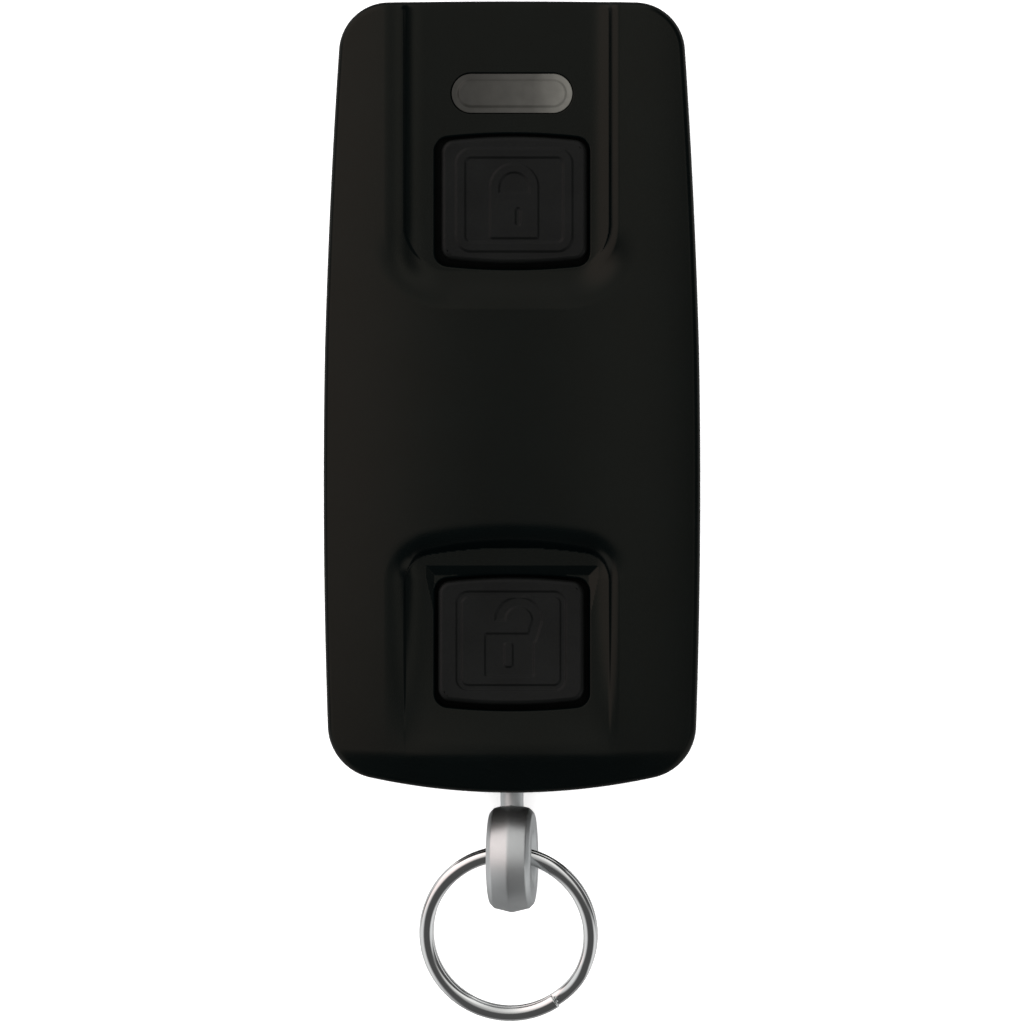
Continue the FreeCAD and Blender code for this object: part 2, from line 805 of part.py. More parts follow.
def swivel_eye():
    """Thick disc ring: a low ridge round its rim, bevelled shoulders and a flared hole."""
    half = eye_thickness / 2
    rim = eye_diameter / 2
    hole = eye_hole_diameter / 2
    shoulder = rim - eye_facet_drop
    profile = [(0, rim), (eye_facet, shoulder), (half, shoulder - eye_bevel_drop), (half, hole + eye_mouth)]
    profile.append((half - eye_mouth, hole))
    points = profile + [(-x, r) for x, r in reversed(profile) if x > 0]
    centre = eye_centre()
    corners = [centre + Vector(x, 0, r) for x, r in points]
    face = Part.Face(Part.makePolygon(corners + corners[:1]))
    eye = face.revolve(centre, Vector(1, 0, 0), 360)
    socket_radius = post_radius + post_socket_clearance
    socket = along_post(socket_radius, bottom_y - post_visible - post_in_eye, bottom_y)
    return turned_about_post(eye).cut(socket)


def biarc(start, start_way, end, end_way):
    """Two arcs that join two places smoothly, leaving one and reaching the other along given directions."""
    span = end - start
    ways = start_way + end_way
    bend = 2 * (1 - start_way.dot(end_way))
    reach = (math.sqrt(span.dot(ways) ** 2 + 2 * bend * span.dot(span)) - span.dot(ways)) / bend
    joint = (start + start_way * reach + end - end_way * reach) / 2
    return [bowed_arc(start, start_way, joint), bowed_arc(joint, None, end, end_way)]


def bowed_arc(start, start_way, end, end_way=None):
    """An arc from start to end, tangent to start_way at its start or to end_way at its end."""
    chord = end - start
    way = start_way if start_way is not None else end_way
    along = Vector(chord).normalize()
    angle = along.getAngle(way)
    side = (way - along * way.dot(along)).normalize()
    rise = chord.Length / 2 * math.tan(angle / 2)
    if start_way is None:
        side = side * -1
    return three_point_arc(start, (start + end) / 2 + side * rise, end)


def ring_radius():
    return (ring_diameter - ring_wire_width) / 2


def ring_point(angle, level):
    return Vector(ring_radius() * math.cos(angle), ring_radius() * math.sin(angle), level)


def ring_way(angle):
    """Direction of travel, clockwise seen from above."""
    return Vector(math.sin(angle), -math.cos(angle), 0)


def ring_turn(start, level, sweep):
    """Clockwise arcs of one level turn, each of about a quarter."""
    step = sweep / ring_turn_arcs
    arcs = []
    for index in range(ring_turn_arcs):
        first = start - index * step
        arcs.append(three_point_arc(
            ring_point(first, level), ring_point(first - step / 2, level), ring_point(first - step, level)))
    return arcs


def ring_path():
    """Upper turn, short crossing step, lower turn."""
    pitch = ring_wire_height + ring_turn_gap
    step = math.radians(ring_step_angle)
    setback = math.radians(ring_end_setback)
    start = math.radians(ring_start_angle) - setback
    sweep = 2 * math.pi - step - setback
    upper = ring_turn(start, pitch / 2, sweep)
    step_start = start - sweep
    step_end = step_start - step
    high = ring_point(step_start, pitch / 2)
    low = ring_point(step_end, -pitch / 2)
    crossing = biarc(high, ring_way(step_start), low, ring_way(step_end))
    return Part.Wire(upper + crossing + ring_turn(step_end, -pitch / 2, sweep))


def ring_section():
    """Flat wire section at the start of the path."""
    start = math.radians(ring_start_angle - ring_end_setback)
    centre = ring_point(start, (ring_wire_height + ring_turn_gap) / 2)
    outward = Vector(math.cos(start), math.sin(start), 0)
    upward = Vector(0, 0, 1)
    wide = ring_wire_width / 2
    high = ring_wire_height / 2
    profile = [(-wide, high), (wide, high), (wide, -high), (-wide, -high)]
    corners = [centre + outward * across + upward * up for across, up in profile]
    return Part.makePolygon(corners + corners[:1])


def ring_pivot():
    """Where the wire hangs in the eye's hole."""
    return eye_centre() + Vector(ring_slide, ring_pull, -ring_drop)


def ring_tilt():
    """Sine of the angle by which the ring hangs down until its far side meets the floor."""
    reach = ring_diameter / 2
    rise = math.sin(math.radians(eye_turn))
    spare = ring_pivot().z - ring_wire_height - ring_turn_gap / 2 - ring_floor_gap
    squares = reach ** 2 - ring_radius() ** 2
    product = spare * ring_radius()
    return (math.sqrt(product ** 2 - squares * (reach ** 2 * rise ** 2 - spare ** 2)) - product) / squares


def key_ring():
    """Split ring of two turns, hung in the eye with its far side on the floor."""
    pipe = Part.BRepOffsetAPI.MakePipeShell(ring_path())
    pipe.add(ring_section())
    pipe.build()
    pipe.makeSolid()
    ring = pipe.shape()
    ring.translate(ring_pivot() - Vector(0, ring_radius(), 0))
    ring.rotate(ring_pivot(), Vector(1, 0, 0), math.degrees(math.asin(ring_tilt())))
    ring.rotate(ring_pivot(), Vector(0, 1, 0), -eye_turn)
    return ring


def ring_gap():
    """Least distance between the ring's two turns, measured on points of its path."""
    points = ring_path().discretize(Number=ring_gap_points)
    least = ring_diameter
    for index, point in enumerate(points):
        for other in points[index + ring_gap_skip:]:
            offset = point - other
            flat = math.hypot(offset.x, offset.y)
            across = max(0, flat - ring_wire_width)
            up = max(0, abs(offset.z) - ring_wire_height)
            least = min(least, math.hypot(across, up))
    return least


def all_pieces():
    middle_y = (lock_y + unlock_y) / 2
    crystal_x = (radio_chip_size + crystal_length) / 2 + crystal_gap
    pieces = {
        "front_cover": front_cover(),
        "rear_cover": rear_cover(),
        "indicator_window": indicator_window(),
        "lock_button": button(lock_y, channel_floor, True),
        "unlock_button": button(unlock_y, pocket_floor, False),
        "circuit_board": circuit_board(),
        "light_guide": light_guide(),
        "indicator_light": on_board(light_size, light_size / 2, light_height, 0, window_y),
        "radio_chip": on_board(radio_chip_size, radio_chip_size, radio_chip_height, 0, middle_y),
        "crystal": on_board(crystal_length, crystal_width, crystal_height, crystal_x, middle_y),
        "chip_antenna": on_board(antenna_length, antenna_width, antenna_height, 0, antenna_y),
        "chip_components": chip_components(),
        "coin_cell": coin_cell(),
        "battery_clip": battery_clip(),
        "battery_contact": battery_contact(),
        "case_screws": case_screws(),
        "swivel_post": swivel_post(),
        "swivel_eye": swivel_eye(),
        "key_ring": key_ring(),
    }
    for name, y in (("lock", lock_y), ("unlock", unlock_y)):
        pieces[name + "_switch_body"] = switch_body(y)
        pieces[name + "_switch_cover"] = switch_cover(y)
        pieces[name + "_switch_plunger"] = switch_plunger(y)
    return pieces


os.makedirs("parts", exist_ok=True)
for name, shape in all_pieces().items():
    shape.exportStep("parts/" + name + ".step")
    print(name, shape.isValid(), len(shape.Solids), round(shape.Volume, 2))
print("least gap between the ring's turns", round(ring_gap(), 3))
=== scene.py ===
"""The dressed smart lock remote: fine meshes, materials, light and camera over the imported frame.

Sizes are in millimetres and follow the part; they become metres where a mesh is made.
"""
import json
import math

import bmesh
import bpy
import numpy as np
from mathutils import Matrix, Vector
from mathutils.geometry import delaunay_2d_cdt


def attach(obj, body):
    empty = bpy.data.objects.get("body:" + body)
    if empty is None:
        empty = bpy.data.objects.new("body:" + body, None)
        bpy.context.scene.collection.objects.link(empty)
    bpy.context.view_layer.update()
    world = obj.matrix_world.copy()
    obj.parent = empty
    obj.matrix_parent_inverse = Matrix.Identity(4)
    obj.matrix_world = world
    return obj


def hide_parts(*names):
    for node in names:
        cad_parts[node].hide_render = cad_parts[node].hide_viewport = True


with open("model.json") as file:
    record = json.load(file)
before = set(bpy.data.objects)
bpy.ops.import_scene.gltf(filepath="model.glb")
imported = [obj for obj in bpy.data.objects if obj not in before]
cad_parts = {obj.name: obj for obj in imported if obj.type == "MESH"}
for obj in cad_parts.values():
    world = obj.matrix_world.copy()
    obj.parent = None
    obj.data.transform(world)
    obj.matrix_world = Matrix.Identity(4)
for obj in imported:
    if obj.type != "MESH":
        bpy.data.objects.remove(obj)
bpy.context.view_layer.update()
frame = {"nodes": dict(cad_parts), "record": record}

mm = 0.001

# Housing plan
top_y = 36.0
bottom_y = -36.0
half_width = 17.1
kink_y = 4.3
kink_inset = 0.08
top_inset = 1.65
bottom_inset = 0.47
upper_side_bulge = 0.18
top_end_crown = 0.2
bottom_end_crown = 2.3
top_corner_radius = 4.55
bottom_corner_radius = 4.9
end_steps = 60
corner_steps = 40
upper_side_steps = 110
lower_side_steps = 130

# Crown, end bevel and rim of the front
crest_y = -2.0
crest_z = 12.451
crown_across_radius = 65.0
crown_along_radius = 432.0
end_bevel_y = bottom_y + 3.15
end_bevel_angle = math.radians(12.5)
end_bevel_softness = 0.12
rim_radius = 0.7
parting_z = 5.2
shadow_gap = 0.25
side_wall = 1.6
rear_wall = 1.4
rear_edge_radius = 1.2
board_top_z = 6.8

# Recesses
recess_middle_x = -0.43
flank_x = 9.33
flank_tail_run = 2.4
flank_tail_share = 0.4
flank_step_run = 0.24
flank_step_share = 0.2
flank_lip_run = 0.9
flank_left_lip_run = 1.9
flank_lip_power = 1.55
recess_floor_radius = 125.0
channel_depth = 1.7
channel_end_y = top_y - 24.5
channel_end_run = 3.6
channel_corner_radius = 4.2
pocket_high_y = bottom_y + 22.3
pocket_low_y = bottom_y + 19.0
pocket_runout_y = bottom_y + 4.0
pocket_top_run = 2.7
pocket_corner_radius = 2.2
pocket_bulge = 0.54
pocket_bow_reach = 1.3
pocket_fade = 0.12
pocket_hollow = 230.0
bevel_drop = 0.3
bevel_slope = 0.34
bevel_start = 2.0

# Buttons and their apertures
lock_y = top_y - 18.26
unlock_y = bottom_y + 13.65
aperture_half_width = 7.0
aperture_half_length = 6.15
aperture_bulge = 0.45
aperture_corner_radius = 1.2
aperture_edge_radius = 0.22
bowed_end_steps = 46
rounding_steps = 14
side_steps = 36
button_gap = 0.36
button_proud = 0.45
button_edge_radius = 0.45
flange_z = 8.5
flange_lap = 0.5
flange_thickness = 0.6
flange_corner_radius = 1.2
least_bulge = 0.01
guide_clearance = 0.12
guide_wall = 0.8
nub_half_width = 1.3
nub_corner_radius = 0.2
nub_height = 0.15
seat_z = 9.2
lock_cap_shift = (0.2, 0.16)
unlock_cap_shift = (-0.08, 0.15)

# Relief on the buttons
ridge_half_size = (5.3, 4.7)
ridge_width = 0.85
ridge_height = 0.12
ridge_edge = 0.28
ridge_corner_radius = 1.4
groove_half_size = (4.98, 4.5)
groove_width = 0.5
groove_depth = 0.12
groove_edge = 0.22
groove_corner_radius = 1.1
sign_relief = 0.12
sign_edge = 0.24
lock_sign_half_width = 2.2
lock_sign_low = 14.25 - lock_y
lock_bow_centre = 18.87 - lock_y
lock_opening_radius = 1.36
lock_opening_low = 18.37 - lock_y
lock_keyhole_low = 15.45 - lock_y
lock_keyhole_high = 17.0 - lock_y
lock_keyhole_x = 0.34
lock_keyhole_width = 0.42
unlock_body = (-0.16, -23.6 - unlock_y, 2.21, 1.93)
unlock_keyhole = (-0.24, -23.62 - unlock_y, 0.39, 1.08)
unlock_bow_centre = (0.68, -20.48 - unlock_y)
unlock_bow_radius = 1.68
unlock_bow_width = 0.88
unlock_leg_end = (1.87, -22.1 - unlock_y)
sign_corner_radius = 0.2

# Indicator window
window_y = top_y - 8.4
window_half_length = 5.55
window_half_width = 1.85
window_edge_radius = 0.1
window_clearance = 0.06
window_sunk = 0.05
window_rim = 0.65
window_raised = 0.15
window_seat_z = 9.136

# Case screws
screw_places = [(-10.1, -30.0), (10.1, -30.0)]
screw_head_radius = 1.9
screw_head_face = 0.5
screw_head_seat = 1.8
screw_head_round = 0.5
screw_head_dome = 0.12
screw_turn = 0.5
screw_sink_radius = 2.1
screw_hole_radius = 1.1
screw_sink_edge = 0.12
cross_arm_length = 1.05
cross_arm_width = 0.34
cross_depth = 0.75
cross_edge = 0.14
cross_arm_slope = 0.6
cross_shallower = 0.35

# Swivel post, eye and key ring
post_radius = 1.05
post_head_radius = 2.0
post_head_length = 1.0
post_head_from_end = 1.7
post_visible = 1.05
post_in_eye = 1.2
eye_radius = 4.96
eye_half_thickness = 2.025
eye_facet = 1.6
eye_facet_drop = 0.38
eye_bevel_drop = 0.45
eye_hole_radius = 1.9
eye_mouth = 0.75
eye_turn = math.radians(5.5)
eye_centre = Vector((0, bottom_y - post_visible - eye_radius, parting_z))
ring_radius = 7.515
ring_outer_radius = 8.15
wire_width = 1.27
wire_height = 0.75
wire_steps = 36
cad_turn_gap = 0.42
turn_gap = 0.06
ring_start = math.radians(-55)
ring_step = math.radians(33)
ring_end_setback = math.radians(1.2)
ring_path_steps = 620
ring_floor_gap = 0.3
ring_pivot = eye_centre + Vector((-0.48, 0.4, -0.1))


def arc_drop(radius, distance):
    """How far an arc falls away from its tangent at a distance from the tangent point."""
    return radius - np.sqrt(radius ** 2 - distance ** 2)


def smooth_min(first, second, width):
    """The lower of two heights, with a rounding of about twice the width at their crossing."""
    near = np.maximum(width - np.abs(first - second), 0) / width
    return np.minimum(first, second) - near ** 2 * width / 4


def smooth_max(first, second, width):
    return -smooth_min(-first, -second, width)


def smooth_step(value):
    """Rises softly from 0 to 1."""
    part = np.clip(value, 0, 1)
    return part * part * (3 - 2 * part)


def box_distance(x, y, half_x, half_y, radius):
    """Signed distance to a rounded rectangle round the origin."""
    across = np.abs(x) - half_x + radius
    along = np.abs(y) - half_y + radius
    outside = np.hypot(np.maximum(across, 0), np.maximum(along, 0))
    return outside + np.minimum(np.maximum(across, along), 0) - radius


# Front face

crown_axis_z = crest_z - crown_along_radius
end_bevel_rise = math.asin((crest_y - end_bevel_y) / crown_along_radius) + end_bevel_angle
end_bevel_z = crown_axis_z + math.sqrt(crown_along_radius ** 2 - (end_bevel_y - crest_y) ** 2)


def crown_height(x, y):
    """Height of the plain crown, with the sloping band at the bottom end."""
    fall = arc_drop(crown_across_radius, x)
    body = crown_axis_z + np.sqrt((crown_along_radius - fall) ** 2 - (y - crest_y) ** 2)
    band = end_bevel_z + (y - end_bevel_y) * math.tan(end_bevel_rise) - fall / math.cos(end_bevel_rise)
    return smooth_min(body, band, end_bevel_softness)


def channel_floor(x, y):
    """Floor of the finger channel: hollow across, and parallel to the crown along."""
    reach = crown_along_radius - channel_depth + arc_drop(recess_floor_radius, x)
    return crown_axis_z + np.sqrt(reach ** 2 - (y - crest_y) ** 2)


def flank_share(distance, lip_run):
    """Rise across a recess's flank line, from 0 to 1: a short steep step, then a rounded lip."""
    step = smooth_step(distance / flank_step_run + 0.5)
    lip = 1 - (1 - np.clip(distance / lip_run, 0, 1)) ** flank_lip_power
    return flank_step_share * step + (1 - flank_step_share) * lip


def wall_share(x, beyond_end, corner_radius, end_run, end_profile):
    """Share of the way from the recess floor up to the crown, with rounded plan corners."""
    across = np.abs(x - recess_middle_x) - flank_x + corner_radius
    along = beyond_end + corner_radius
    outside = np.hypot(np.maximum(across, 0), np.maximum(along, 0))
    distance = outside + np.minimum(np.maximum(across, along), 0) - corner_radius
    end_weight = smooth_step(np.maximum(along, 0) / np.maximum(outside, 1e-9))
    lip_run = np.where(x < recess_middle_x, flank_left_lip_run, flank_lip_run)
    end_part = np.clip(distance / end_run, 0, 1)
    wall = flank_share(distance, lip_run) * (1 - end_weight) + end_profile(end_part) * end_weight
    tail = flank_tail_share * np.clip(distance / flank_tail_run + 1, 0, 1) ** 3
    return 1 - (1 - tail * (1 - end_weight)) * (1 - wall)


def channel_height(x, y):
    """Floor, flanks and end slope of the finger channel, up to the crown."""
    share = wall_share(x, channel_end_y - y, channel_corner_radius, channel_end_run, smooth_step)
    crown = crown_height(x, y)
    return crown - (crown - channel_floor(0 * x, y)) * (1 - share)


pocket_floor_z = float(crown_height(np.float64(0), pocket_runout_y)) - float(
    arc_drop(recess_floor_radius, pocket_low_y - pocket_runout_y))


def pocket_floor(x, y):
    """Dished floor of the finger pocket, part of a ball."""
    centre_z = pocket_floor_z + recess_floor_radius
    return centre_z - np.sqrt(recess_floor_radius ** 2 - x ** 2 - (y - pocket_low_y) ** 2)


def bevel_depth(x, y):
    """Mitred slope that leads down to the upper part of the lower aperture and tapers out beside it."""
    across = np.abs(x) - aperture_half_width
    along = np.abs(y - unlock_y) - aperture_half_length
    reach = np.maximum(across, along)
    taper = np.clip((y - (unlock_y + bevel_start)) / (aperture_half_length - bevel_start), 0, 1)
    return np.maximum(bevel_drop * taper - np.maximum(reach, 0) * bevel_slope, 0)


def pocket_height(x, y):
    """Floor, flanks and top slope of the finger pocket, which runs out into the crown."""
    bow = pocket_bulge * np.minimum(np.abs(x) / aperture_half_width, pocket_bow_reach) ** 2
    share = wall_share(
        x, y + bow - pocket_high_y, pocket_corner_radius, pocket_top_run, lambda part: 1 - (1 - part) ** 3)
    crown = crown_height(x, y)
    middle_depth = crown_height(0 * x, y) - pocket_floor(0 * x, y)
    depth = middle_depth * (1 - (x - recess_middle_x) ** 2 / pocket_hollow)
    return crown - (smooth_max(depth, 0 * x, pocket_fade) + bevel_depth(x, y)) * (1 - share)


def front_height(x, y):
    """The whole front face."""
    return np.where(y > 0, channel_height(x, y), pocket_height(x, y))


# Plan outlines as closed loops of points, clockwise from the top


def circle_through(a, b, c):
    """Centre and radius of the circle through three points."""
    turn = 2 * (a[0] * (b[1] - c[1]) + b[0] * (c[1] - a[1]) + c[0] * (a[1] - b[1]))
    squares = [point[0] ** 2 + point[1] ** 2 for point in (a, b, c)]
    x = (squares[0] * (b[1] - c[1]) + squares[1] * (c[1] - a[1]) + squares[2] * (a[1] - b[1])) / turn
    y = (squares[0] * (c[0] - b[0]) + squares[1] * (a[0] - c[0]) + squares[2] * (b[0] - a[0])) / turn
    return np.array([x, y]), math.hypot(a[0] - x, a[1] - y)


def circles_meet(first, first_radius, second, second_radius, near):
    """The crossing of two circles that lies nearer to a point."""
    span = second - first
    length = np.hypot(*span)
    along = (first_radius ** 2 - second_radius ** 2 + length ** 2) / (2 * length)
    rise = math.sqrt(first_radius ** 2 - along ** 2)
    foot = first + span * along / length
    side = np.array([-span[1], span[0]]) / length * rise
    return min((foot + side, foot - side), key=lambda point: np.hypot(*(point - near)))


def angle_of(vector):
    return math.atan2(vector[1], vector[0])


def arc_points(centre, radius, start, end, count):
    """Points along an arc, without its last one."""
    angles = start + (end - start) * np.arange(count) / count
    return np.column_stack([centre[0] + radius * np.cos(angles), centre[1] + radius * np.sin(angles)])


def plan_circles():
    """Circles of the top end, upper side, lower side and bottom end, and the corner centres, right half."""
    top = np.array([half_width - top_inset, top_y - top_end_crown])
    kink = np.array([half_width - kink_inset, kink_y])
    bottom = np.array([half_width - bottom_inset, bottom_y + bottom_end_crown])
    mirror = np.array([-1, 1])
    top_end = circle_through(top * mirror, (0, top_y), top)
    bottom_end = circle_through(bottom * mirror, (0, bottom_y), bottom)
    upper = circle_through(top, (top + kink) / 2 + np.array([upper_side_bulge, 0]), kink)
    lower = circle_through(kink, (half_width, (kink[1] + bottom[1]) / 2), bottom)
    top_corner = circles_meet(
        top_end[0], top_end[1] - top_corner_radius, upper[0], upper[1] - top_corner_radius, top)
    bottom_corner = circles_meet(
        bottom_end[0], bottom_end[1] - bottom_corner_radius, lower[0], lower[1] - bottom_corner_radius,
        bottom)
    return top_end, upper, lower, bottom_end, top_corner, bottom_corner, kink


plan = plan_circles()
plan_low = (-half_width, bottom_y)
plan_high = (half_width, top_y)


def closed_loop(half):
    """A right half that starts at the top, and its mirror image, as one closed loop."""
    left = half[::-1] * np.array([-1, 1])
    return np.vstack([half, left[1:-1]])


def housing_loop(inset):
    """The housing's outline, moved inward."""
    (top, top_radius), (upper, upper_radius), (lower, lower_radius), (bottom, bottom_radius) = plan[:4]
    top_corner, bottom_corner, kink = plan[4:]
    kink_point = circles_meet(upper, upper_radius - inset, lower, lower_radius - inset, kink)
    runs = [
        (top, top_radius - inset, math.pi / 2, angle_of(top_corner - top), end_steps),
        (top_corner, top_corner_radius - inset, angle_of(top_corner - top), angle_of(top_corner - upper),
         corner_steps),
        (upper, upper_radius - inset, angle_of(top_corner - upper), angle_of(kink_point - upper),
         upper_side_steps),
        (lower, lower_radius - inset, angle_of(kink_point - lower), angle_of(bottom_corner - lower),
         lower_side_steps),
        (bottom_corner, bottom_corner_radius - inset, angle_of(bottom_corner - lower),
         angle_of(bottom_corner - bottom), corner_steps),
        (bottom, bottom_radius - inset, angle_of(bottom_corner - bottom), -math.pi / 2, end_steps),
    ]
    half = np.vstack([arc_points(*run) for run in runs])
    last = np.array([[0, bottom[1] - (bottom_radius - inset)]])
    return closed_loop(np.vstack([half, last]))


def housing_distance(x, y):
    """Signed distance to the housing's outline, negative inside."""
    (top, top_radius), (upper, upper_radius), (lower, lower_radius), (bottom, bottom_radius) = plan[:4]
    top_corner, bottom_corner = plan[4:6]
    right = np.abs(x)
    reach = np.hypot(right - top[0], y - top[1]) - top_radius
    for centre, radius in ((upper, upper_radius), (lower, lower_radius), (bottom, bottom_radius)):
        reach = np.maximum(reach, np.hypot(right - centre[0], y - centre[1]) - radius)
    at_top = (right > top_corner[0]) & (y > top_corner[1])
    reach = np.where(at_top, np.hypot(right - top_corner[0], y - top_corner[1]) - top_corner_radius, reach)
    at_bottom = (right > bottom_corner[0]) & (y < bottom_corner[1])
    low = np.hypot(right - bottom_corner[0], y - bottom_corner[1]) - bottom_corner_radius
    return np.where(at_bottom, low, reach)


def bulged_loop(half_x, half_y, bulge, radius, grow, y):
    """Outline of a button or aperture: straight sides, bowed ends, rounded corners, grown outward."""
    centre, end_radius = circle_through((-half_x, half_y - bulge), (0, half_y), (half_x, half_y - bulge))
    corner_x = half_x - radius
    corner_y = centre[1] + math.sqrt((end_radius - radius) ** 2 - corner_x ** 2)
    corner = np.array([corner_x, corner_y])
    start = angle_of(corner - centre)
    end = arc_points(centre, end_radius + grow, math.pi / 2, start, bowed_end_steps)
    turn = arc_points(corner, radius + grow, start, 0, rounding_steps)
    steps = np.linspace(corner_y, 0, side_steps + 1)
    side = np.column_stack([np.full(len(steps), half_x + grow), steps])
    quarter = np.vstack([end, turn, side])
    half = np.vstack([quarter, quarter[-2::-1] * np.array([1, -1])])
    return closed_loop(half) + np.array([0, y])


def bulged_distance(x, y, half_x, half_y, bulge, radius):
    """Signed distance to that outline, nearly exact for a small bulge."""
    bow = bulge * np.minimum(np.abs(x) / half_x, 1) ** 2
    return box_distance(x, np.abs(y) + bow, half_x, half_y, radius)


def stadium_loop(half_x, half_y, grow, y, count=48, straight=60):
    """Outline of the indicator window, grown outward."""
    centre = np.array([half_x - half_y, 0])
    steps = centre[0] * np.arange(straight) / straight
    high = np.column_stack([steps, np.full(straight, half_y + grow)])
    end = arc_points(centre, half_y + grow, math.pi / 2, -math.pi / 2, count)
    low = np.column_stack([centre[0] - steps, np.full(straight, -half_y - grow)])
    last = np.array([[0, -half_y - grow]])
    return closed_loop(np.vstack([high, end, low, last])) + np.array([0, y])


def stadium_distance(x, y, half_x, half_y):
    return box_distance(x, y, half_x, half_y, half_y)


# Mesh making


def sheet_points(height, margin, low, high, fine, coarse_every, sharpness):
    """Grid points over a height field: few where it is flat, many where it bends."""
    xs = np.arange(low[0], high[0] + fine, fine)
    ys = np.arange(low[1], high[1] + fine, fine)
    x, y = np.meshgrid(xs, ys)
    z = height(x, y)
    bend = np.zeros_like(z)
    bend[:, 1:-1] = np.abs(z[:, 2:] + z[:, :-2] - 2 * z[:, 1:-1])
    bend[1:-1, :] = np.maximum(bend[1:-1, :], np.abs(z[2:, :] + z[:-2, :] - 2 * z[1:-1, :]))
    keen = bend > sharpness * fine ** 2
    for axis in (0, 1):
        keen = keen | np.roll(keen, 1, axis) | np.roll(keen, -1, axis)
    rows, columns = np.indices(z.shape)
    even = (rows % coarse_every == 0) & (columns % coarse_every == 0)
    kept = (keen | even) & (margin(x, y) > 0.6 * fine)
    return np.column_stack([x[kept], y[kept]])


def within(margin):
    """Test for places that a margin leaves inside, or just on its border."""
    return lambda x, y: margin(x, y) > -1e-3


def lifted_sheet(height, points, loops, inside):
    """Triangulates points and loops in plan, keeps what is inside, and lifts it to the height field."""
    coordinates = np.vstack([points] + loops)
    edges = []
    starts = []
    start = len(points)
    for loop in loops:
        starts.append(start)
        edges += [(start + index, start + (index + 1) % len(loop)) for index in range(len(loop))]
        start += len(loop)
    flat, _, faces, origins, _, _ = delaunay_2d_cdt(
        [Vector(point) for point in coordinates.tolist()], edges, [], 0, 1e-7, True)
    flat = np.array([tuple(point) for point in flat])
    faces = np.array(faces)
    middles = flat[faces].mean(axis=1)
    faces = faces[inside(middles[:, 0], middles[:, 1])]
    place = {}
    for index, sources in enumerate(origins):
        for source in sources:
            place[source] = index
    rings = [
        [place[first + index] for index in range(len(loop))] for first, loop in zip(starts, loops)]
    z = height(flat[:, 0], flat[:, 1])
    step = 0.01
    slope_x = (height(flat[:, 0] + step, flat[:, 1]) - height(flat[:, 0] - step, flat[:, 1])) / (2 * step)
    slope_y = (height(flat[:, 0], flat[:, 1] + step) - height(flat[:, 0], flat[:, 1] - step)) / (2 * step)
    normals = np.column_stack([-slope_x, -slope_y, np.ones(len(z))])
    normals /= np.linalg.norm(normals, axis=1)[:, None]
    return (np.column_stack([flat, z]), faces.tolist(), normals), rings


def add_rings(surface, ring, loops, closed=False):
    """Hangs a run of closed loops on a ring of a surface, and may close the last one with a face."""
    vertices, faces, normals = surface
    last = list(ring)
    for loop in loops:
        first = len(vertices)
        count = len(loop)
        vertices = np.vstack([vertices, loop])
        normals = np.vstack([normals, np.zeros((count, 3))])
        fresh = list(range(first, first + count))
        for index in range(count):
            after = (index + 1) % count
            faces.append([last[index], last[after], fresh[after], fresh[index]])
        last = fresh
    if closed:
        faces.append(last)
    return vertices, faces, normals


def new_piece(name, surface, sharp=40, faces_down=False):
    """A smooth-shaded mesh object from a surface in millimetres. It may be turned over to face down."""
    vertices, faces, normals = surface
    mesh = bpy.data.meshes.new(name)
    mesh.from_pydata((np.asarray(vertices) * mm).tolist(), [], faces)
    solid = bmesh.new()
    solid.from_mesh(mesh)
    kept_normals = [Vector(normals[vertex.index]) for vertex in solid.verts if vertex.link_faces]
    loose = [vertex for vertex in solid.verts if not vertex.link_faces]
    bmesh.ops.delete(solid, geom=loose, context="VERTS")
    bmesh.ops.recalc_face_normals(solid, faces=solid.faces)
    highest = max(solid.faces, key=lambda face: face.calc_center_median().z)
    if highest.normal.z < 0:
        bmesh.ops.reverse_faces(solid, faces=solid.faces)
    if faces_down:
        for vertex in solid.verts:
            vertex.co.z = -vertex.co.z
        bmesh.ops.reverse_faces(solid, faces=solid.faces)
        kept_normals = [Vector((normal.x, normal.y, -normal.z)) for normal in kept_normals]
    solid.to_mesh(mesh)
    solid.free()
    mesh.shade_smooth()
    mesh.set_sharp_from_angle(angle=math.radians(sharp))
    mesh.normals_split_custom_set_from_vertices(kept_normals)
    piece = bpy.data.objects.new(name, mesh)
    bpy.context.scene.collection.objects.link(piece)
    return piece


def rounded_rings(height, loop_at, radius, steps):
    """Rings of a rounding that turns from the sheet into a wall. loop_at gives the outline at a distance."""
    base = loop_at(radius)
    top = height(base[:, 0], base[:, 1])
    rings = []
    for index in range(1, steps + 1):
        angle = math.pi / 2 * index / steps
        loop = loop_at(radius * (1 - math.sin(angle)))
        rings.append(np.column_stack([loop, top - radius * (1 - math.cos(angle))]))
    return rings


def level_rings(*steps):
    """Level rings from (loop, height) pairs."""
    return [np.column_stack([loop, np.full(len(loop), z)]) for loop, z in steps]


def aperture_at(y):
    """Outline of an aperture, as a function of how far it is grown."""
    return lambda grow: bulged_loop(
        aperture_half_width, aperture_half_length, aperture_bulge, aperture_corner_radius, grow, y)


def aperture_distance(x, y, centre_y):
    return bulged_distance(
        x, y - centre_y, aperture_half_width, aperture_half_length, aperture_bulge, aperture_corner_radius)


def flange_loop(grow, y):
    """Outline of a button's flange, grown outward."""
    half_x = aperture_half_width + flange_lap
    half_y = aperture_half_length + flange_lap
    return bulged_loop(half_x, half_y, least_bulge, flange_corner_radius, grow, y)


def window_at(grow):
    return stadium_loop(window_half_length, window_half_width, grow, window_y)


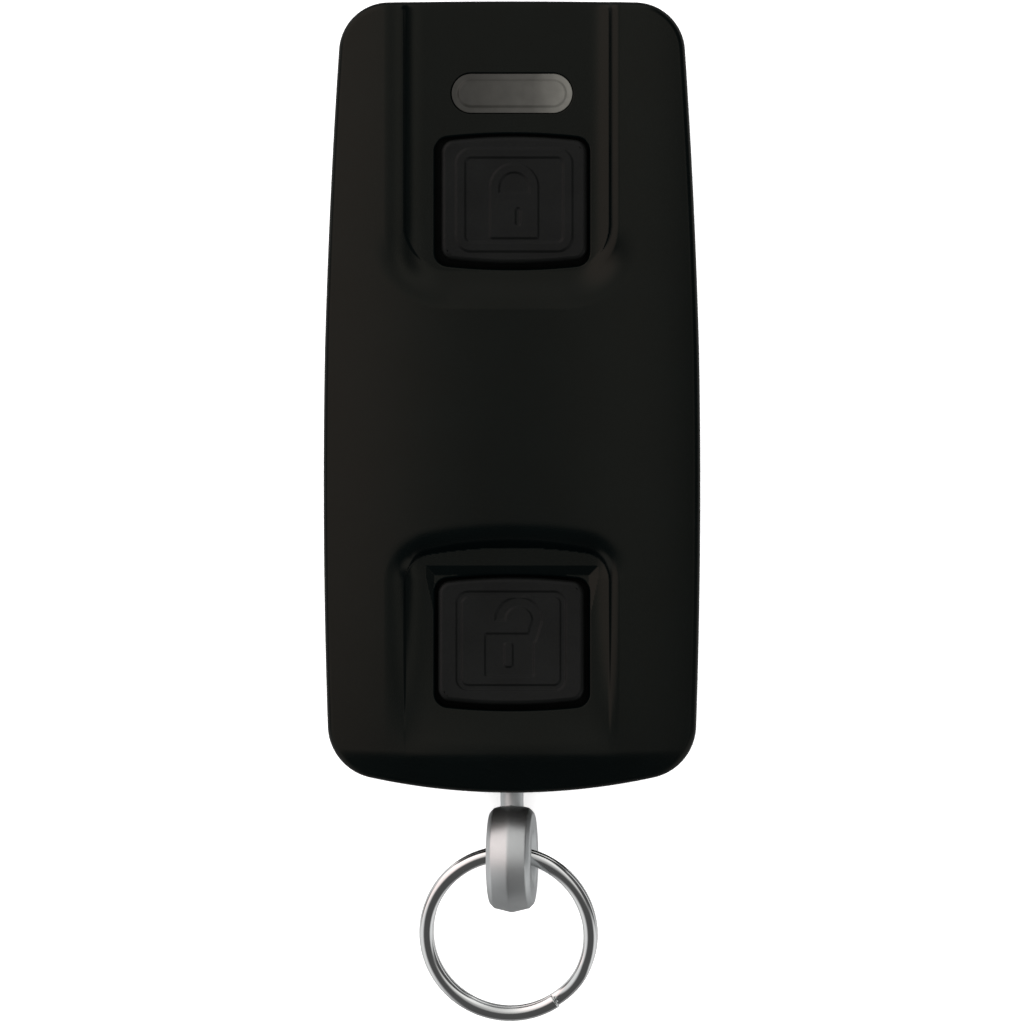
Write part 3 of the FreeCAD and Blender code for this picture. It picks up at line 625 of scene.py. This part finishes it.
def front_margin(x, y):
    """How far a place of the front face is from the nearest rounding."""
    reach = -housing_distance(x, y) - rim_radius
    for centre_y in (lock_y, unlock_y):
        reach = np.minimum(reach, aperture_distance(x, y, centre_y) - aperture_edge_radius)
    window = stadium_distance(x, y - window_y, window_half_length, window_half_width) - window_edge_radius
    return np.minimum(reach, window)


def front_shell():
    """Front cover: crowned sheet, rounded rim, walls, shadow gap, apertures with guides, window recess."""
    points = sheet_points(
        front_height, front_margin, plan_low, plan_high, fine=0.1, coarse_every=6, sharpness=0.03)
    loops = [housing_loop(rim_radius), aperture_at(lock_y)(aperture_edge_radius),
             aperture_at(unlock_y)(aperture_edge_radius), window_at(window_edge_radius)]
    surface, rings = lifted_sheet(front_height, points, loops, within(front_margin))
    rim = rounded_rings(front_height, housing_loop, rim_radius, 7)
    sunk = housing_loop(shadow_gap)
    inner = housing_loop(side_wall)
    rim += level_rings(
        (housing_loop(0), parting_z + shadow_gap), (sunk, parting_z + shadow_gap), (sunk, parting_z),
        (inner, parting_z), (inner, seat_z))
    surface = add_rings(surface, rings[0], rim)
    for ring, y in ((rings[1], lock_y), (rings[2], unlock_y)):
        edge = rounded_rings(front_height, aperture_at(y), aperture_edge_radius, 4)
        inner = flange_loop(guide_clearance, y)
        outer = flange_loop(guide_clearance + guide_wall, y)
        edge += level_rings(
            (aperture_at(y)(0), seat_z), (inner, seat_z), (inner, board_top_z), (outer, board_top_z),
            (outer, seat_z))
        surface = add_rings(surface, ring, edge)
    seat = rounded_rings(front_height, window_at, window_edge_radius, 4)
    seat += level_rings((window_at(0), window_seat_z))
    surface = add_rings(surface, rings[3], seat, True)
    return new_piece("front_shell", surface)


# Rear cover and screws, made facing up and turned over


def ring_loop(x, y, radius, count=72):
    """Circle as a closed loop of points."""
    return arc_points((x, y), radius, math.pi / 2, -1.5 * math.pi, count)


def rear_margin(x, y):
    reach = -housing_distance(x, y) - rear_edge_radius
    for place_x, place_y in screw_places:
        reach = np.minimum(reach, np.hypot(x - place_x, y - place_y) - screw_sink_radius - screw_sink_edge)
    return reach


def rear_shell():
    """Rear cover: flat back with a rounded edge, sunk screw holes, side walls and the tray's inside."""
    def level(x, y):
        return 0.0 * x

    points = sheet_points(level, rear_margin, plan_low, plan_high, fine=1.0, coarse_every=2, sharpness=1.0)
    loops = [housing_loop(rear_edge_radius)]
    loops += [ring_loop(x, y, screw_sink_radius + screw_sink_edge) for x, y in screw_places]
    surface, rings = lifted_sheet(level, points, loops, within(rear_margin))
    edge = rounded_rings(level, housing_loop, rear_edge_radius, 8)
    inner = housing_loop(side_wall)
    edge += level_rings((housing_loop(0), -parting_z), (inner, -parting_z), (inner, -rear_wall))
    surface = add_rings(surface, rings[0], edge, True)
    for ring, (x, y) in zip(rings[1:], screw_places):
        sink = rounded_rings(
            level, lambda grow, x=x, y=y: ring_loop(x, y, screw_sink_radius + grow), screw_sink_edge, 3)
        sink += level_rings(
            (ring_loop(x, y, screw_sink_radius), -screw_head_seat),
            (ring_loop(x, y, screw_hole_radius), -screw_head_seat))
        surface = add_rings(surface, ring, sink)
    return new_piece("rear_shell", surface, faces_down=True)


def cross_sink(x, y):
    """Depth share of a screw's cross recess: two soft-edged bars that taper to the middle."""
    bars = []
    for along, across in ((x, y), (y, x)):
        end = (np.abs(along) - cross_arm_length) * cross_arm_slope
        bars.append(filled(np.maximum(end, np.abs(across) - cross_arm_width), cross_edge))
    return np.maximum(*bars) * (1 - cross_shallower * np.clip(np.hypot(x, y) / cross_arm_length, 0, 1))


def screw_head(index):
    """Pan head with a cross recess, as deep as its seat."""
    place_x, place_y = screw_places[index]
    flat_radius = screw_head_radius - screw_head_round
    turn = screw_turn + index

    def height(x, y):
        across = x - place_x
        along = y - place_y
        dome = screw_head_dome * (np.hypot(across, along) / flat_radius) ** 2
        turned_x = across * math.cos(turn) - along * math.sin(turn)
        turned_y = across * math.sin(turn) + along * math.cos(turn)
        return -screw_head_face - dome - cross_depth * cross_sink(turned_x, turned_y)

    def margin(x, y):
        return flat_radius - np.hypot(x - place_x, y - place_y)

    def loop_at(inset):
        return ring_loop(place_x, place_y, screw_head_radius - inset)

    low = (place_x - flat_radius, place_y - flat_radius)
    high = (place_x + flat_radius, place_y + flat_radius)
    points = sheet_points(height, margin, low, high, fine=0.05, coarse_every=4, sharpness=0.2)
    surface, rings = lifted_sheet(height, points, [loop_at(screw_head_round)], within(margin))
    edge = rounded_rings(height, loop_at, screw_head_round, 5)
    edge += level_rings((loop_at(0), -screw_head_seat))
    surface = add_rings(surface, rings[0], edge, True)
    return new_piece("screw_%d" % index, surface, faces_down=True)


# Buttons


def ridge(distance, width, edge):
    """A soft-edged band just inside an outline: 1 on the band and 0 beside it."""
    return smooth_step((width / 2 - np.abs(distance + width / 2)) / edge + 0.5)


def filled(distance, edge):
    return smooth_step(0.5 - distance / edge)


def closed_padlock(x, y):
    """Sign of the upper button: one raised outline with the bow's opening and a keyhole sunk in it."""
    high = lock_bow_centre + lock_sign_half_width
    straight = box_distance(
        x, y - (high + lock_sign_low) / 2, lock_sign_half_width, (high - lock_sign_low) / 2,
        sign_corner_radius)
    dome = np.hypot(x, y - lock_bow_centre) - lock_sign_half_width
    outline = np.where(y > lock_bow_centre, dome, straight)
    round_part = np.hypot(x, np.maximum(y - lock_bow_centre, 0)) - lock_opening_radius
    opening = np.maximum(round_part, lock_opening_low - y)
    keyhole = box_distance(
        x - lock_keyhole_x, y - (lock_keyhole_high + lock_keyhole_low) / 2, lock_keyhole_width / 2,
        (lock_keyhole_high - lock_keyhole_low) / 2, lock_keyhole_width / 2)
    return filled(outline, sign_edge) * (1 - filled(np.minimum(opening, keyhole), sign_edge))


def open_padlock(x, y):
    """Sign of the lower button, sunk, with a keyhole left standing and the bow swung open."""
    body_x, body_y, body_half_x, body_half_y = unlock_body
    body = box_distance(x - body_x, y - body_y, body_half_x, body_half_y, sign_corner_radius)
    bow_x, bow_y = unlock_bow_centre
    bow = np.abs(np.hypot(x - bow_x, y - bow_y) - unlock_bow_radius) - unlock_bow_width / 2
    bow = np.maximum(bow, bow_y - y)
    leg_start = np.array([bow_x + unlock_bow_radius, bow_y])
    leg = np.array(unlock_leg_end) - leg_start
    share = np.clip(((x - leg_start[0]) * leg[0] + (y - leg_start[1]) * leg[1]) / (leg @ leg), 0, 1)
    foot_x, foot_y = leg_start[0] + share * leg[0], leg_start[1] + share * leg[1]
    side = np.hypot(x - foot_x, y - foot_y) - unlock_bow_width / 2
    key_x, key_y, key_half_x, key_half_y = unlock_keyhole
    keyhole = box_distance(x - key_x, y - key_y, key_half_x, key_half_y, key_half_x * 0.7)
    shape = np.minimum(body, np.minimum(bow, side))
    return filled(shape, sign_edge) * (1 - filled(keyhole, sign_edge))


def button_piece(name, centre_y, shift, height):
    """A button: cap with rounded edge and its sign in relief, captive flange and nub."""
    half_x = aperture_half_width - button_gap
    half_y = aperture_half_length - button_gap
    cap_x, shift_y = shift
    cap_y = centre_y + shift_y

    def loop_at(inset):
        loop = bulged_loop(half_x, half_y, aperture_bulge, aperture_corner_radius, -inset, cap_y)
        return loop + np.array([cap_x, 0])

    def margin(x, y):
        outline = bulged_distance(
            x - cap_x, y - cap_y, half_x, half_y, aperture_bulge, aperture_corner_radius)
        return -outline - button_edge_radius

    def placed_height(x, y):
        return height(x - cap_x, y - shift_y)

    low = (cap_x - half_x, cap_y - half_y)
    high = (cap_x + half_x, cap_y + half_y)
    points = sheet_points(placed_height, margin, low, high, fine=0.06, coarse_every=5, sharpness=0.05)
    surface, rings = lifted_sheet(placed_height, points, [loop_at(button_edge_radius)], within(margin))
    edge = rounded_rings(placed_height, loop_at, button_edge_radius, 6)
    flange = flange_loop(0, centre_y)
    nub = bulged_loop(nub_half_width, nub_half_width, least_bulge, nub_corner_radius, 0, centre_y)
    edge += level_rings(
        (loop_at(0), flange_z + flange_thickness), (flange, flange_z + flange_thickness), (flange, flange_z),
        (nub, flange_z), (nub, flange_z - nub_height))
    surface = add_rings(surface, rings[0], edge, True)
    return new_piece(name, surface)


def lock_cap_height(x, y):
    """Top of the upper cap: raised frame and raised sign."""
    across = y - lock_y
    distance = box_distance(x, across, *ridge_half_size, ridge_corner_radius)
    relief = ridge_height * ridge(distance, ridge_width, ridge_edge) + sign_relief * closed_padlock(x, across)
    return channel_floor(x, y) + button_proud + relief


def unlock_cap_height(x, y):
    """Top of the lower cap: sunk frame and sunk sign."""
    across = y - unlock_y
    distance = box_distance(x, across, *groove_half_size, groove_corner_radius)
    relief = groove_depth * ridge(distance, groove_width, groove_edge) + sign_relief * open_padlock(x, across)
    return pocket_floor(x, y) + button_proud - relief


# Indicator window


def window_height(x, y):
    """Rim of the window, a soft step, and its raised field."""
    field = stadium_distance(
        x, y - window_y, window_half_length - window_rim, window_half_width - window_rim)
    return channel_floor(x, y) - window_sunk + (window_sunk + window_raised) * filled(field, 0.3)


def window_piece():
    half_x = window_half_length - window_clearance
    half_y = window_half_width - window_clearance
    radius = 0.08

    def loop_at(inset):
        return stadium_loop(half_x, half_y, -inset, window_y)

    def margin(x, y):
        return -stadium_distance(x, y - window_y, half_x, half_y) - radius

    low = (-half_x, window_y - half_y)
    high = (half_x, window_y + half_y)
    points = sheet_points(window_height, margin, low, high, fine=0.06, coarse_every=4, sharpness=0.05)
    surface, rings = lifted_sheet(window_height, points, [loop_at(radius)], within(margin))
    edge = rounded_rings(window_height, loop_at, radius, 3)
    edge += level_rings((loop_at(0), window_seat_z))
    surface = add_rings(surface, rings[0], edge, True)
    return new_piece("window_inlay", surface)


# Swivel and ring


def turned_surface(profile, centre, axis, count=144):
    """Surface turned from a closed profile of (along, radius) points about an axis."""
    start = Vector((0, 0, 1)) if abs(axis.z) < 0.5 else Vector((1, 0, 0))
    side = axis.cross(start).normalized()
    start = side.cross(axis)
    vertices = []
    for index in range(count):
        angle = 2 * math.pi * index / count
        out = start * math.cos(angle) + side * math.sin(angle)
        vertices += [tuple(centre + axis * along + out * radius) for along, radius in profile]
    size = len(profile)
    faces = []
    for index in range(count):
        here = index * size
        there = (index + 1) % count * size
        for step in range(size):
            after = (step + 1) % size
            faces.append([here + step, here + after, there + after, there + step])
    return vertices, faces, np.zeros((len(vertices), 3))


def rounded_profile(corners, radius, steps=5):
    """A closed profile whose corners are rounded; each corner is (along, radius, share of the rounding)."""
    points = []
    count = len(corners)
    for index, (along, out, share) in enumerate(corners):
        here = Vector((along, out))
        before = Vector(corners[index - 1][:2])
        after = Vector(corners[(index + 1) % count][:2])
        cut = radius * share
        start = here + (before - here).normalized() * cut
        end = here + (after - here).normalized() * cut
        for step in range(steps + 1):
            part = step / steps
            points.append(tuple(start * (1 - part) ** 2 + here * 2 * part * (1 - part) + end * part ** 2))
    return points


def swivel_eye():
    """Disc ring with a low ridge round its rim, bevelled shoulders and a flared hole."""
    shoulder = eye_radius - eye_facet_drop
    side = shoulder - eye_bevel_drop
    half = eye_half_thickness
    corners = [(0, eye_radius, 1), (eye_facet, shoulder, 0.6), (half, side, 0.9),
               (half, eye_hole_radius + eye_mouth, 0.8), (half - eye_mouth, eye_hole_radius, 0.8)]
    corners += [(-along, out, share) for along, out, share in reversed(corners) if along > 0]
    axis = Vector((math.cos(eye_turn), 0, math.sin(eye_turn)))
    surface = turned_surface(rounded_profile(corners, 0.2), eye_centre, axis)
    return new_piece("swivel_disc", surface, sharp=60)


def swivel_post():
    """Turned stud: head inside the housing, plain shank out to the eye."""
    start = bottom_y - post_visible - post_in_eye
    head = bottom_y + post_head_from_end
    corners = [(start, 0.01, 0), (start, post_radius, 0.3), (head, post_radius, 0.2),
               (head, post_head_radius, 0.5), (head + post_head_length, post_head_radius, 0.5),
               (head + post_head_length, 0.01, 0)]
    surface = turned_surface(rounded_profile(corners, 0.3), Vector((0, 0, parting_z)), Vector((0, 1, 0)))
    return new_piece("swivel_stud", surface, sharp=60)


def wire_section():
    """Oval section of the ring's wire, as (outward, upward) offsets."""
    angles = [2 * math.pi * step / wire_steps for step in range(wire_steps)]
    return [(math.cos(angle) * wire_width / 2, math.sin(angle) * wire_height / 2) for angle in angles]


def key_ring():
    """Split ring: an upper turn, a short crossing step and a lower turn, hung in the eye."""
    pitch = wire_height + turn_gap
    sweep = 2 * math.pi - ring_step
    total = 2 * sweep + ring_step - 2 * ring_end_setback
    count = ring_path_steps
    section = wire_section()
    vertices = []
    for index in range(count + 1):
        travelled = ring_end_setback + total * index / count
        angle = ring_start - travelled
        fall = float(smooth_step((travelled - sweep) / ring_step))
        level = pitch / 2 - pitch * fall
        outward = Vector((math.cos(angle), math.sin(angle), 0))
        for out, up in section:
            vertices.append(outward * (ring_radius + out) + Vector((0, 0, level + up)))
    size = len(section)
    faces = [list(range(size)), list(range(count * size, (count + 1) * size))]
    for index in range(count):
        for step in range(size):
            after = (step + 1) % size
            here = index * size
            faces.append([here + step, here + after, here + size + after, here + size + step])
    settle = ring_settling()
    placed = [tuple(settle @ vertex) for vertex in vertices]
    return new_piece("split_ring", (placed, faces, np.zeros((len(placed), 3))), sharp=50)


def ring_tilt():
    """Sine of the angle by which the ring hangs down until its far side is just above the floor."""
    rise = math.sin(eye_turn)
    spare = ring_pivot.z - wire_height - cad_turn_gap / 2 - ring_floor_gap
    squares = ring_outer_radius ** 2 - ring_radius ** 2
    product = spare * ring_radius
    rest = squares * (ring_outer_radius ** 2 * rise ** 2 - spare ** 2)
    return (math.sqrt(product ** 2 - rest) - product) / squares


def ring_settling():
    """Places the flat ring in the eye's hole, hanging down almost to the floor."""
    hang = Matrix.Rotation(math.asin(ring_tilt()), 4, "X")
    turn = Matrix.Rotation(-eye_turn, 4, "Y")
    return Matrix.Translation(ring_pivot) @ turn @ hang @ Matrix.Translation((0, -ring_radius, 0))


# Materials

noise_span = (0.3, 0.7)


def new_material(name):
    """An empty material with a Principled shader; returns it with its node tree and shader."""
    material = bpy.data.materials.new(name)
    material.use_nodes = True
    tree = material.node_tree
    return material, tree, tree.nodes["Principled BSDF"]


def object_noise(tree, scale, detail):
    """Noise in the object's own space, in features per metre."""
    place = tree.nodes.new("ShaderNodeTexCoord")
    noise = tree.nodes.new("ShaderNodeTexNoise")
    noise.inputs["Scale"].default_value = scale
    noise.inputs["Detail"].default_value = detail
    tree.links.new(place.outputs["Object"], noise.inputs["Vector"])
    return noise.outputs["Fac"]


def mapped(tree, source, span, result, interpolation="LINEAR"):
    """A value mapped from one range to another and held at its ends."""
    node = tree.nodes.new("ShaderNodeMapRange")
    node.interpolation_type = interpolation
    for label, value in zip(("From Min", "From Max", "To Min", "To Max"), (*span, *result)):
        node.inputs[label].default_value = value
    tree.links.new(source, node.inputs["Value"])
    return node.outputs["Result"]


def colour_ramp(tree, source, stops):
    """Colours blended along a value, from (position, colour) stops."""
    ramp = tree.nodes.new("ShaderNodeValToRGB")
    elements = ramp.color_ramp.elements
    while len(elements) < len(stops):
        elements.new(1.0)
    for element, (position, colour) in zip(elements, stops):
        element.position = position
        element.color = (*colour, 1)
    tree.links.new(source, ramp.inputs["Fac"])
    return ramp.outputs["Color"]


def mottled(tree, source, first, second):
    """A colour that wanders between two close tones."""
    return colour_ramp(tree, source, ((noise_span[0], first), (noise_span[1], second)))


def finish_material(name, tones, rough, grain, metallic=0.0, specular=0.5, tint=(1.0, 1.0, 1.0)):
    """A surface with wandering tone and roughness and a fine grain. grain is (scale, depth in mm)."""
    material, tree, shader = new_material(name)
    broad = object_noise(tree, 260, 3)
    tree.links.new(mottled(tree, broad, *tones), shader.inputs["Base Color"])
    fine = object_noise(tree, grain[0], 4)
    tree.links.new(mapped(tree, fine, noise_span, rough), shader.inputs["Roughness"])
    bump = tree.nodes.new("ShaderNodeBump")
    bump.inputs["Strength"].default_value = 1.0
    bump.inputs["Distance"].default_value = grain[1] * mm
    tree.links.new(fine, bump.inputs["Height"])
    tree.links.new(bump.outputs["Normal"], shader.inputs["Normal"])
    shader.inputs["Metallic"].default_value = metallic
    shader.inputs["Specular IOR Level"].default_value = specular
    shader.inputs["Specular Tint"].default_value = (*tint, 1)
    return material


def tone(red, green, blue, spread):
    """Two close tones round a colour."""
    colour = (red, green, blue)
    return tuple(value * (1 - spread) for value in colour), tuple(value * (1 + spread) for value in colour)


def window_material():
    """Smoke-grey plastic; painted light makes its colour grow paler towards the right end, over the indicator
    light.
    """
    material, tree, shader = new_material("window_grey")
    place = tree.nodes.new("ShaderNodeTexCoord")
    split = tree.nodes.new("ShaderNodeSeparateXYZ")
    tree.links.new(place.outputs["Object"], split.inputs["Vector"])
    along = mapped(tree, split.outputs["X"], (-4 * mm, window_half_length * mm), (0.0, 1.0))
    # Colour ramp along the window: its own smoke grey, with painted light that pales it towards the right
    # end.
    smoke_and_painted_glow = colour_ramp(tree, along, (
        (0.0, (0.02, 0.0195, 0.0175)), (0.62, (0.037, 0.036, 0.0325)), (1.0, (0.095, 0.093, 0.083))))
    cloud = object_noise(tree, 900, 3)
    blend = tree.nodes.new("ShaderNodeMix")
    blend.data_type = "RGBA"
    blend.blend_type = "MULTIPLY"
    blend.inputs["Factor"].default_value = 1.0
    tree.links.new(smoke_and_painted_glow, blend.inputs["A"])
    tree.links.new(mottled(tree, cloud, (0.86, 0.86, 0.86), (1.0, 1.0, 1.0)), blend.inputs["B"])
    tree.links.new(blend.outputs["Result"], shader.inputs["Base Color"])
    tree.links.new(mapped(tree, cloud, noise_span, (0.12, 0.2)), shader.inputs["Roughness"])
    shader.inputs["Specular IOR Level"].default_value = 0.15
    return material


def make_materials():
    """One material for each slot of the record."""
    plastic = {"specular": 0.15}
    metal = {"metallic": 1.0}
    finishes = (
        ("housing_black", tone(0.0005, 0.0011, 0.0012, 0.1), (0.2, 0.26), (5000, 0.0002),
         {"specular": 0.15, "tint": (1.06, 1.0, 0.84)}),
        ("button_black", tone(0.0019, 0.0021, 0.002, 0.2), (0.4, 0.52), (3600, 0.01), plastic),
        ("satin_nickel", tone(0.64, 0.66, 0.665, 0.04), (0.4, 0.5), (7000, 0.0002), metal),
        ("bright_nickel", tone(0.78, 0.79, 0.79, 0.03), (0.07, 0.12), (2500, 0.0004), metal),
        ("board_green", tone(0.01, 0.12, 0.05, 0.12), (0.3, 0.45), (5000, 0.004), {}),
        ("chip_black", tone(0.012, 0.012, 0.012, 0.1), (0.5, 0.65), (9000, 0.004), {}),
        ("tinned_steel", tone(0.6, 0.6, 0.58, 0.05), (0.22, 0.36), (4000, 0.002), metal),
        ("screw_zinc", tone(0.42, 0.43, 0.45, 0.08), (0.28, 0.4), (5000, 0.002), metal),
        ("ceramic_white", tone(0.7, 0.69, 0.64, 0.04), (0.3, 0.4), (5000, 0.002), {}),
        ("clear_plastic", tone(0.8, 0.82, 0.82, 0.03), (0.08, 0.16), (3000, 0.0005), {}),
        ("plunger_white", tone(0.75, 0.75, 0.72, 0.04), (0.35, 0.5), (5000, 0.002), {}),
    )
    made = {name: finish_material(name, *finish, **extra) for name, *finish, extra in finishes}
    made["window_grey"] = window_material()
    return made


def paint(piece, material):
    """Gives a piece one material in every slot."""
    if not piece.data.materials:
        piece.data.materials.append(material)
    for place in piece.material_slots:
        place.material = material


def dress_frame():
    """Finishes the CAD nodes that stay in view or inside."""
    for entry in frame["record"]["subparts"]:
        node = frame["nodes"][entry["node"]]
        paint(node, materials[entry["material_slot"]])


def add_piece(piece, material_slot, body, *nodes):
    """Paints a fine piece, ties it to its body and lets it stand for CAD nodes."""
    paint(piece, materials[material_slot])
    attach(piece, body)
    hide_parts(*nodes)


# Studio


def add_floor():
    """Plain white light table just under the remote."""
    reach = 1500
    corners = [(-reach, -reach, 0), (reach, -reach, 0), (reach, reach, 0), (-reach, reach, 0)]
    mesh = bpy.data.meshes.new("floor")
    mesh.from_pydata((np.array(corners) * mm).tolist(), [], [[0, 1, 2, 3]])
    floor = bpy.data.objects.new("floor", mesh)
    bpy.context.scene.collection.objects.link(floor)
    floor.location.z = -0.02 * mm
    material = finish_material(
        "floor_white", tone(0.86, 0.86, 0.86, 0.004), (0.7, 0.75), (200, 0.0), specular=0.1)
    shader = material.node_tree.nodes["Principled BSDF"]
    shader.inputs["Emission Color"].default_value = (1, 1, 1, 1)
    shader.inputs["Emission Strength"].default_value = 0.45
    paint(floor, material)
    floor.visible_glossy = False


def rise(tree, component, low, high):
    """Soft step from 0 to 1 of one component of the direction. It falls where low is above high."""
    ends = (0.0, 1.0) if low < high else (1.0, 0.0)
    return mapped(tree, component, (min(low, high), max(low, high)), ends, "SMOOTHSTEP")


def combined(tree, operation, *values):
    """A math node over sockets and numbers."""
    node = tree.nodes.new("ShaderNodeMath")
    node.operation = operation
    for place, value in enumerate(values):
        if isinstance(value, float):
            node.inputs[place].default_value = value
        else:
            tree.links.new(value, node.inputs[place])
    return node.outputs["Value"]


def product(tree, first, *others):
    """Several values multiplied."""
    for other in others:
        first = combined(tree, "MULTIPLY", first, other)
    return first


def add_dome():
    """Studio dome: soft light from the left and the top end, less overhead, dark on the right and below."""
    world = bpy.data.worlds.new("studio")
    bpy.context.scene.world = world
    world.use_nodes = True
    tree = world.node_tree
    place = tree.nodes.new("ShaderNodeTexCoord")
    split = tree.nodes.new("ShaderNodeSeparateXYZ")
    tree.links.new(place.outputs["Generated"], split.inputs["Vector"])
    x, y, z = split.outputs
    away = combined(tree, "ABSOLUTE", x)
    above = rise(tree, y, -0.34, -0.04)
    below = rise(tree, y, -0.04, -0.34)
    towards_top = rise(tree, y, 0.0, 0.26)
    left = rise(tree, x, -0.2, -0.48)
    not_right = rise(tree, x, 0.55, 0.41)
    not_far = rise(tree, away, 0.97, 0.86)
    far_sides = rise(tree, away, 0.4, 0.72)
    broad = combined(tree, "MULTIPLY_ADD", rise(tree, away, 0.03, 0.36), 0.33, 0.37)
    white = (1.0, 0.99, 0.97)
    lights = (
        (product(tree, above, not_right, not_far, broad), white),
        (product(tree, towards_top, not_right, 0.26), white),
        (product(tree, below, far_sides), (0.75, 0.75, 0.75)),
        (product(tree, above, left, not_far, 0.34), (1.42, 0.96, 0.92)),
    )
    total = (0.08, 0.08, 0.08)
    for strength, colour in lights:
        mixed = tree.nodes.new("ShaderNodeVectorMath")
        mixed.operation = "MULTIPLY_ADD"
        mixed.inputs[1].default_value = colour
        tree.links.new(strength, mixed.inputs[0])
        if isinstance(total, tuple):
            mixed.inputs[2].default_value = total
        else:
            tree.links.new(total, mixed.inputs[2])
        total = mixed.outputs["Vector"]
    horizon = tree.nodes.new("ShaderNodeMix")
    horizon.data_type = "RGBA"
    tree.links.new(rise(tree, z, 0.12, -0.05), horizon.inputs["Factor"])
    tree.links.new(total, horizon.inputs["A"])
    tree.links.new(combined(tree, "MULTIPLY_ADD", far_sides, 0.4, 0.29), horizon.inputs["B"])
    tree.links.new(horizon.outputs["Result"], tree.nodes["Background"].inputs["Color"])


def add_overhead_light():
    """Square softbox straight above the remote, kept out of its reflections."""
    side = 900
    data = bpy.data.lights.new("overhead", "AREA")
    data.shape = "SQUARE"
    data.size = side * mm
    data.energy = 14
    lamp = bpy.data.objects.new("overhead", data)
    bpy.context.scene.collection.objects.link(lamp)
    lamp.location.z = side * mm
    lamp.visible_glossy = False


def add_camera():
    """Long lens straight above, framing as in the photograph."""
    frame_width = 93.2
    frame_middle_y = -10.47
    level = 8.0
    data = bpy.data.cameras.new("camera")
    data.lens = 800
    data.sensor_width = 36
    data.clip_end = 20
    camera = bpy.data.objects.new("camera", data)
    bpy.context.scene.collection.objects.link(camera)
    distance = frame_width * data.lens / data.sensor_width
    camera.location = Vector((0, frame_middle_y, level + distance)) * mm
    bpy.context.scene.camera = camera


materials = make_materials()
dress_frame()
add_piece(front_shell(), "housing_black", "housing", "front_cover")
add_piece(rear_shell(), "housing_black", "housing", "rear_cover")
for screw in range(len(screw_places)):
    add_piece(screw_head(screw), "screw_zinc", "housing", "case_screws")
lock_cap = button_piece("lock_cap", lock_y, lock_cap_shift, lock_cap_height)
add_piece(lock_cap, "button_black", "lock_key", "lock_button")
unlock_cap = button_piece("unlock_cap", unlock_y, unlock_cap_shift, unlock_cap_height)
add_piece(unlock_cap, "button_black", "unlock_key", "unlock_button")
add_piece(window_piece(), "window_grey", "housing", "indicator_window")
add_piece(swivel_eye(), "satin_nickel", "swivel", "swivel_eye")
add_piece(swivel_post(), "satin_nickel", "swivel", "swivel_post")
add_piece(key_ring(), "bright_nickel", "ring", "key_ring")
add_floor()
add_dome()
add_overhead_light()
add_camera()
bpy.context.scene.view_settings.view_transform = "Standard"
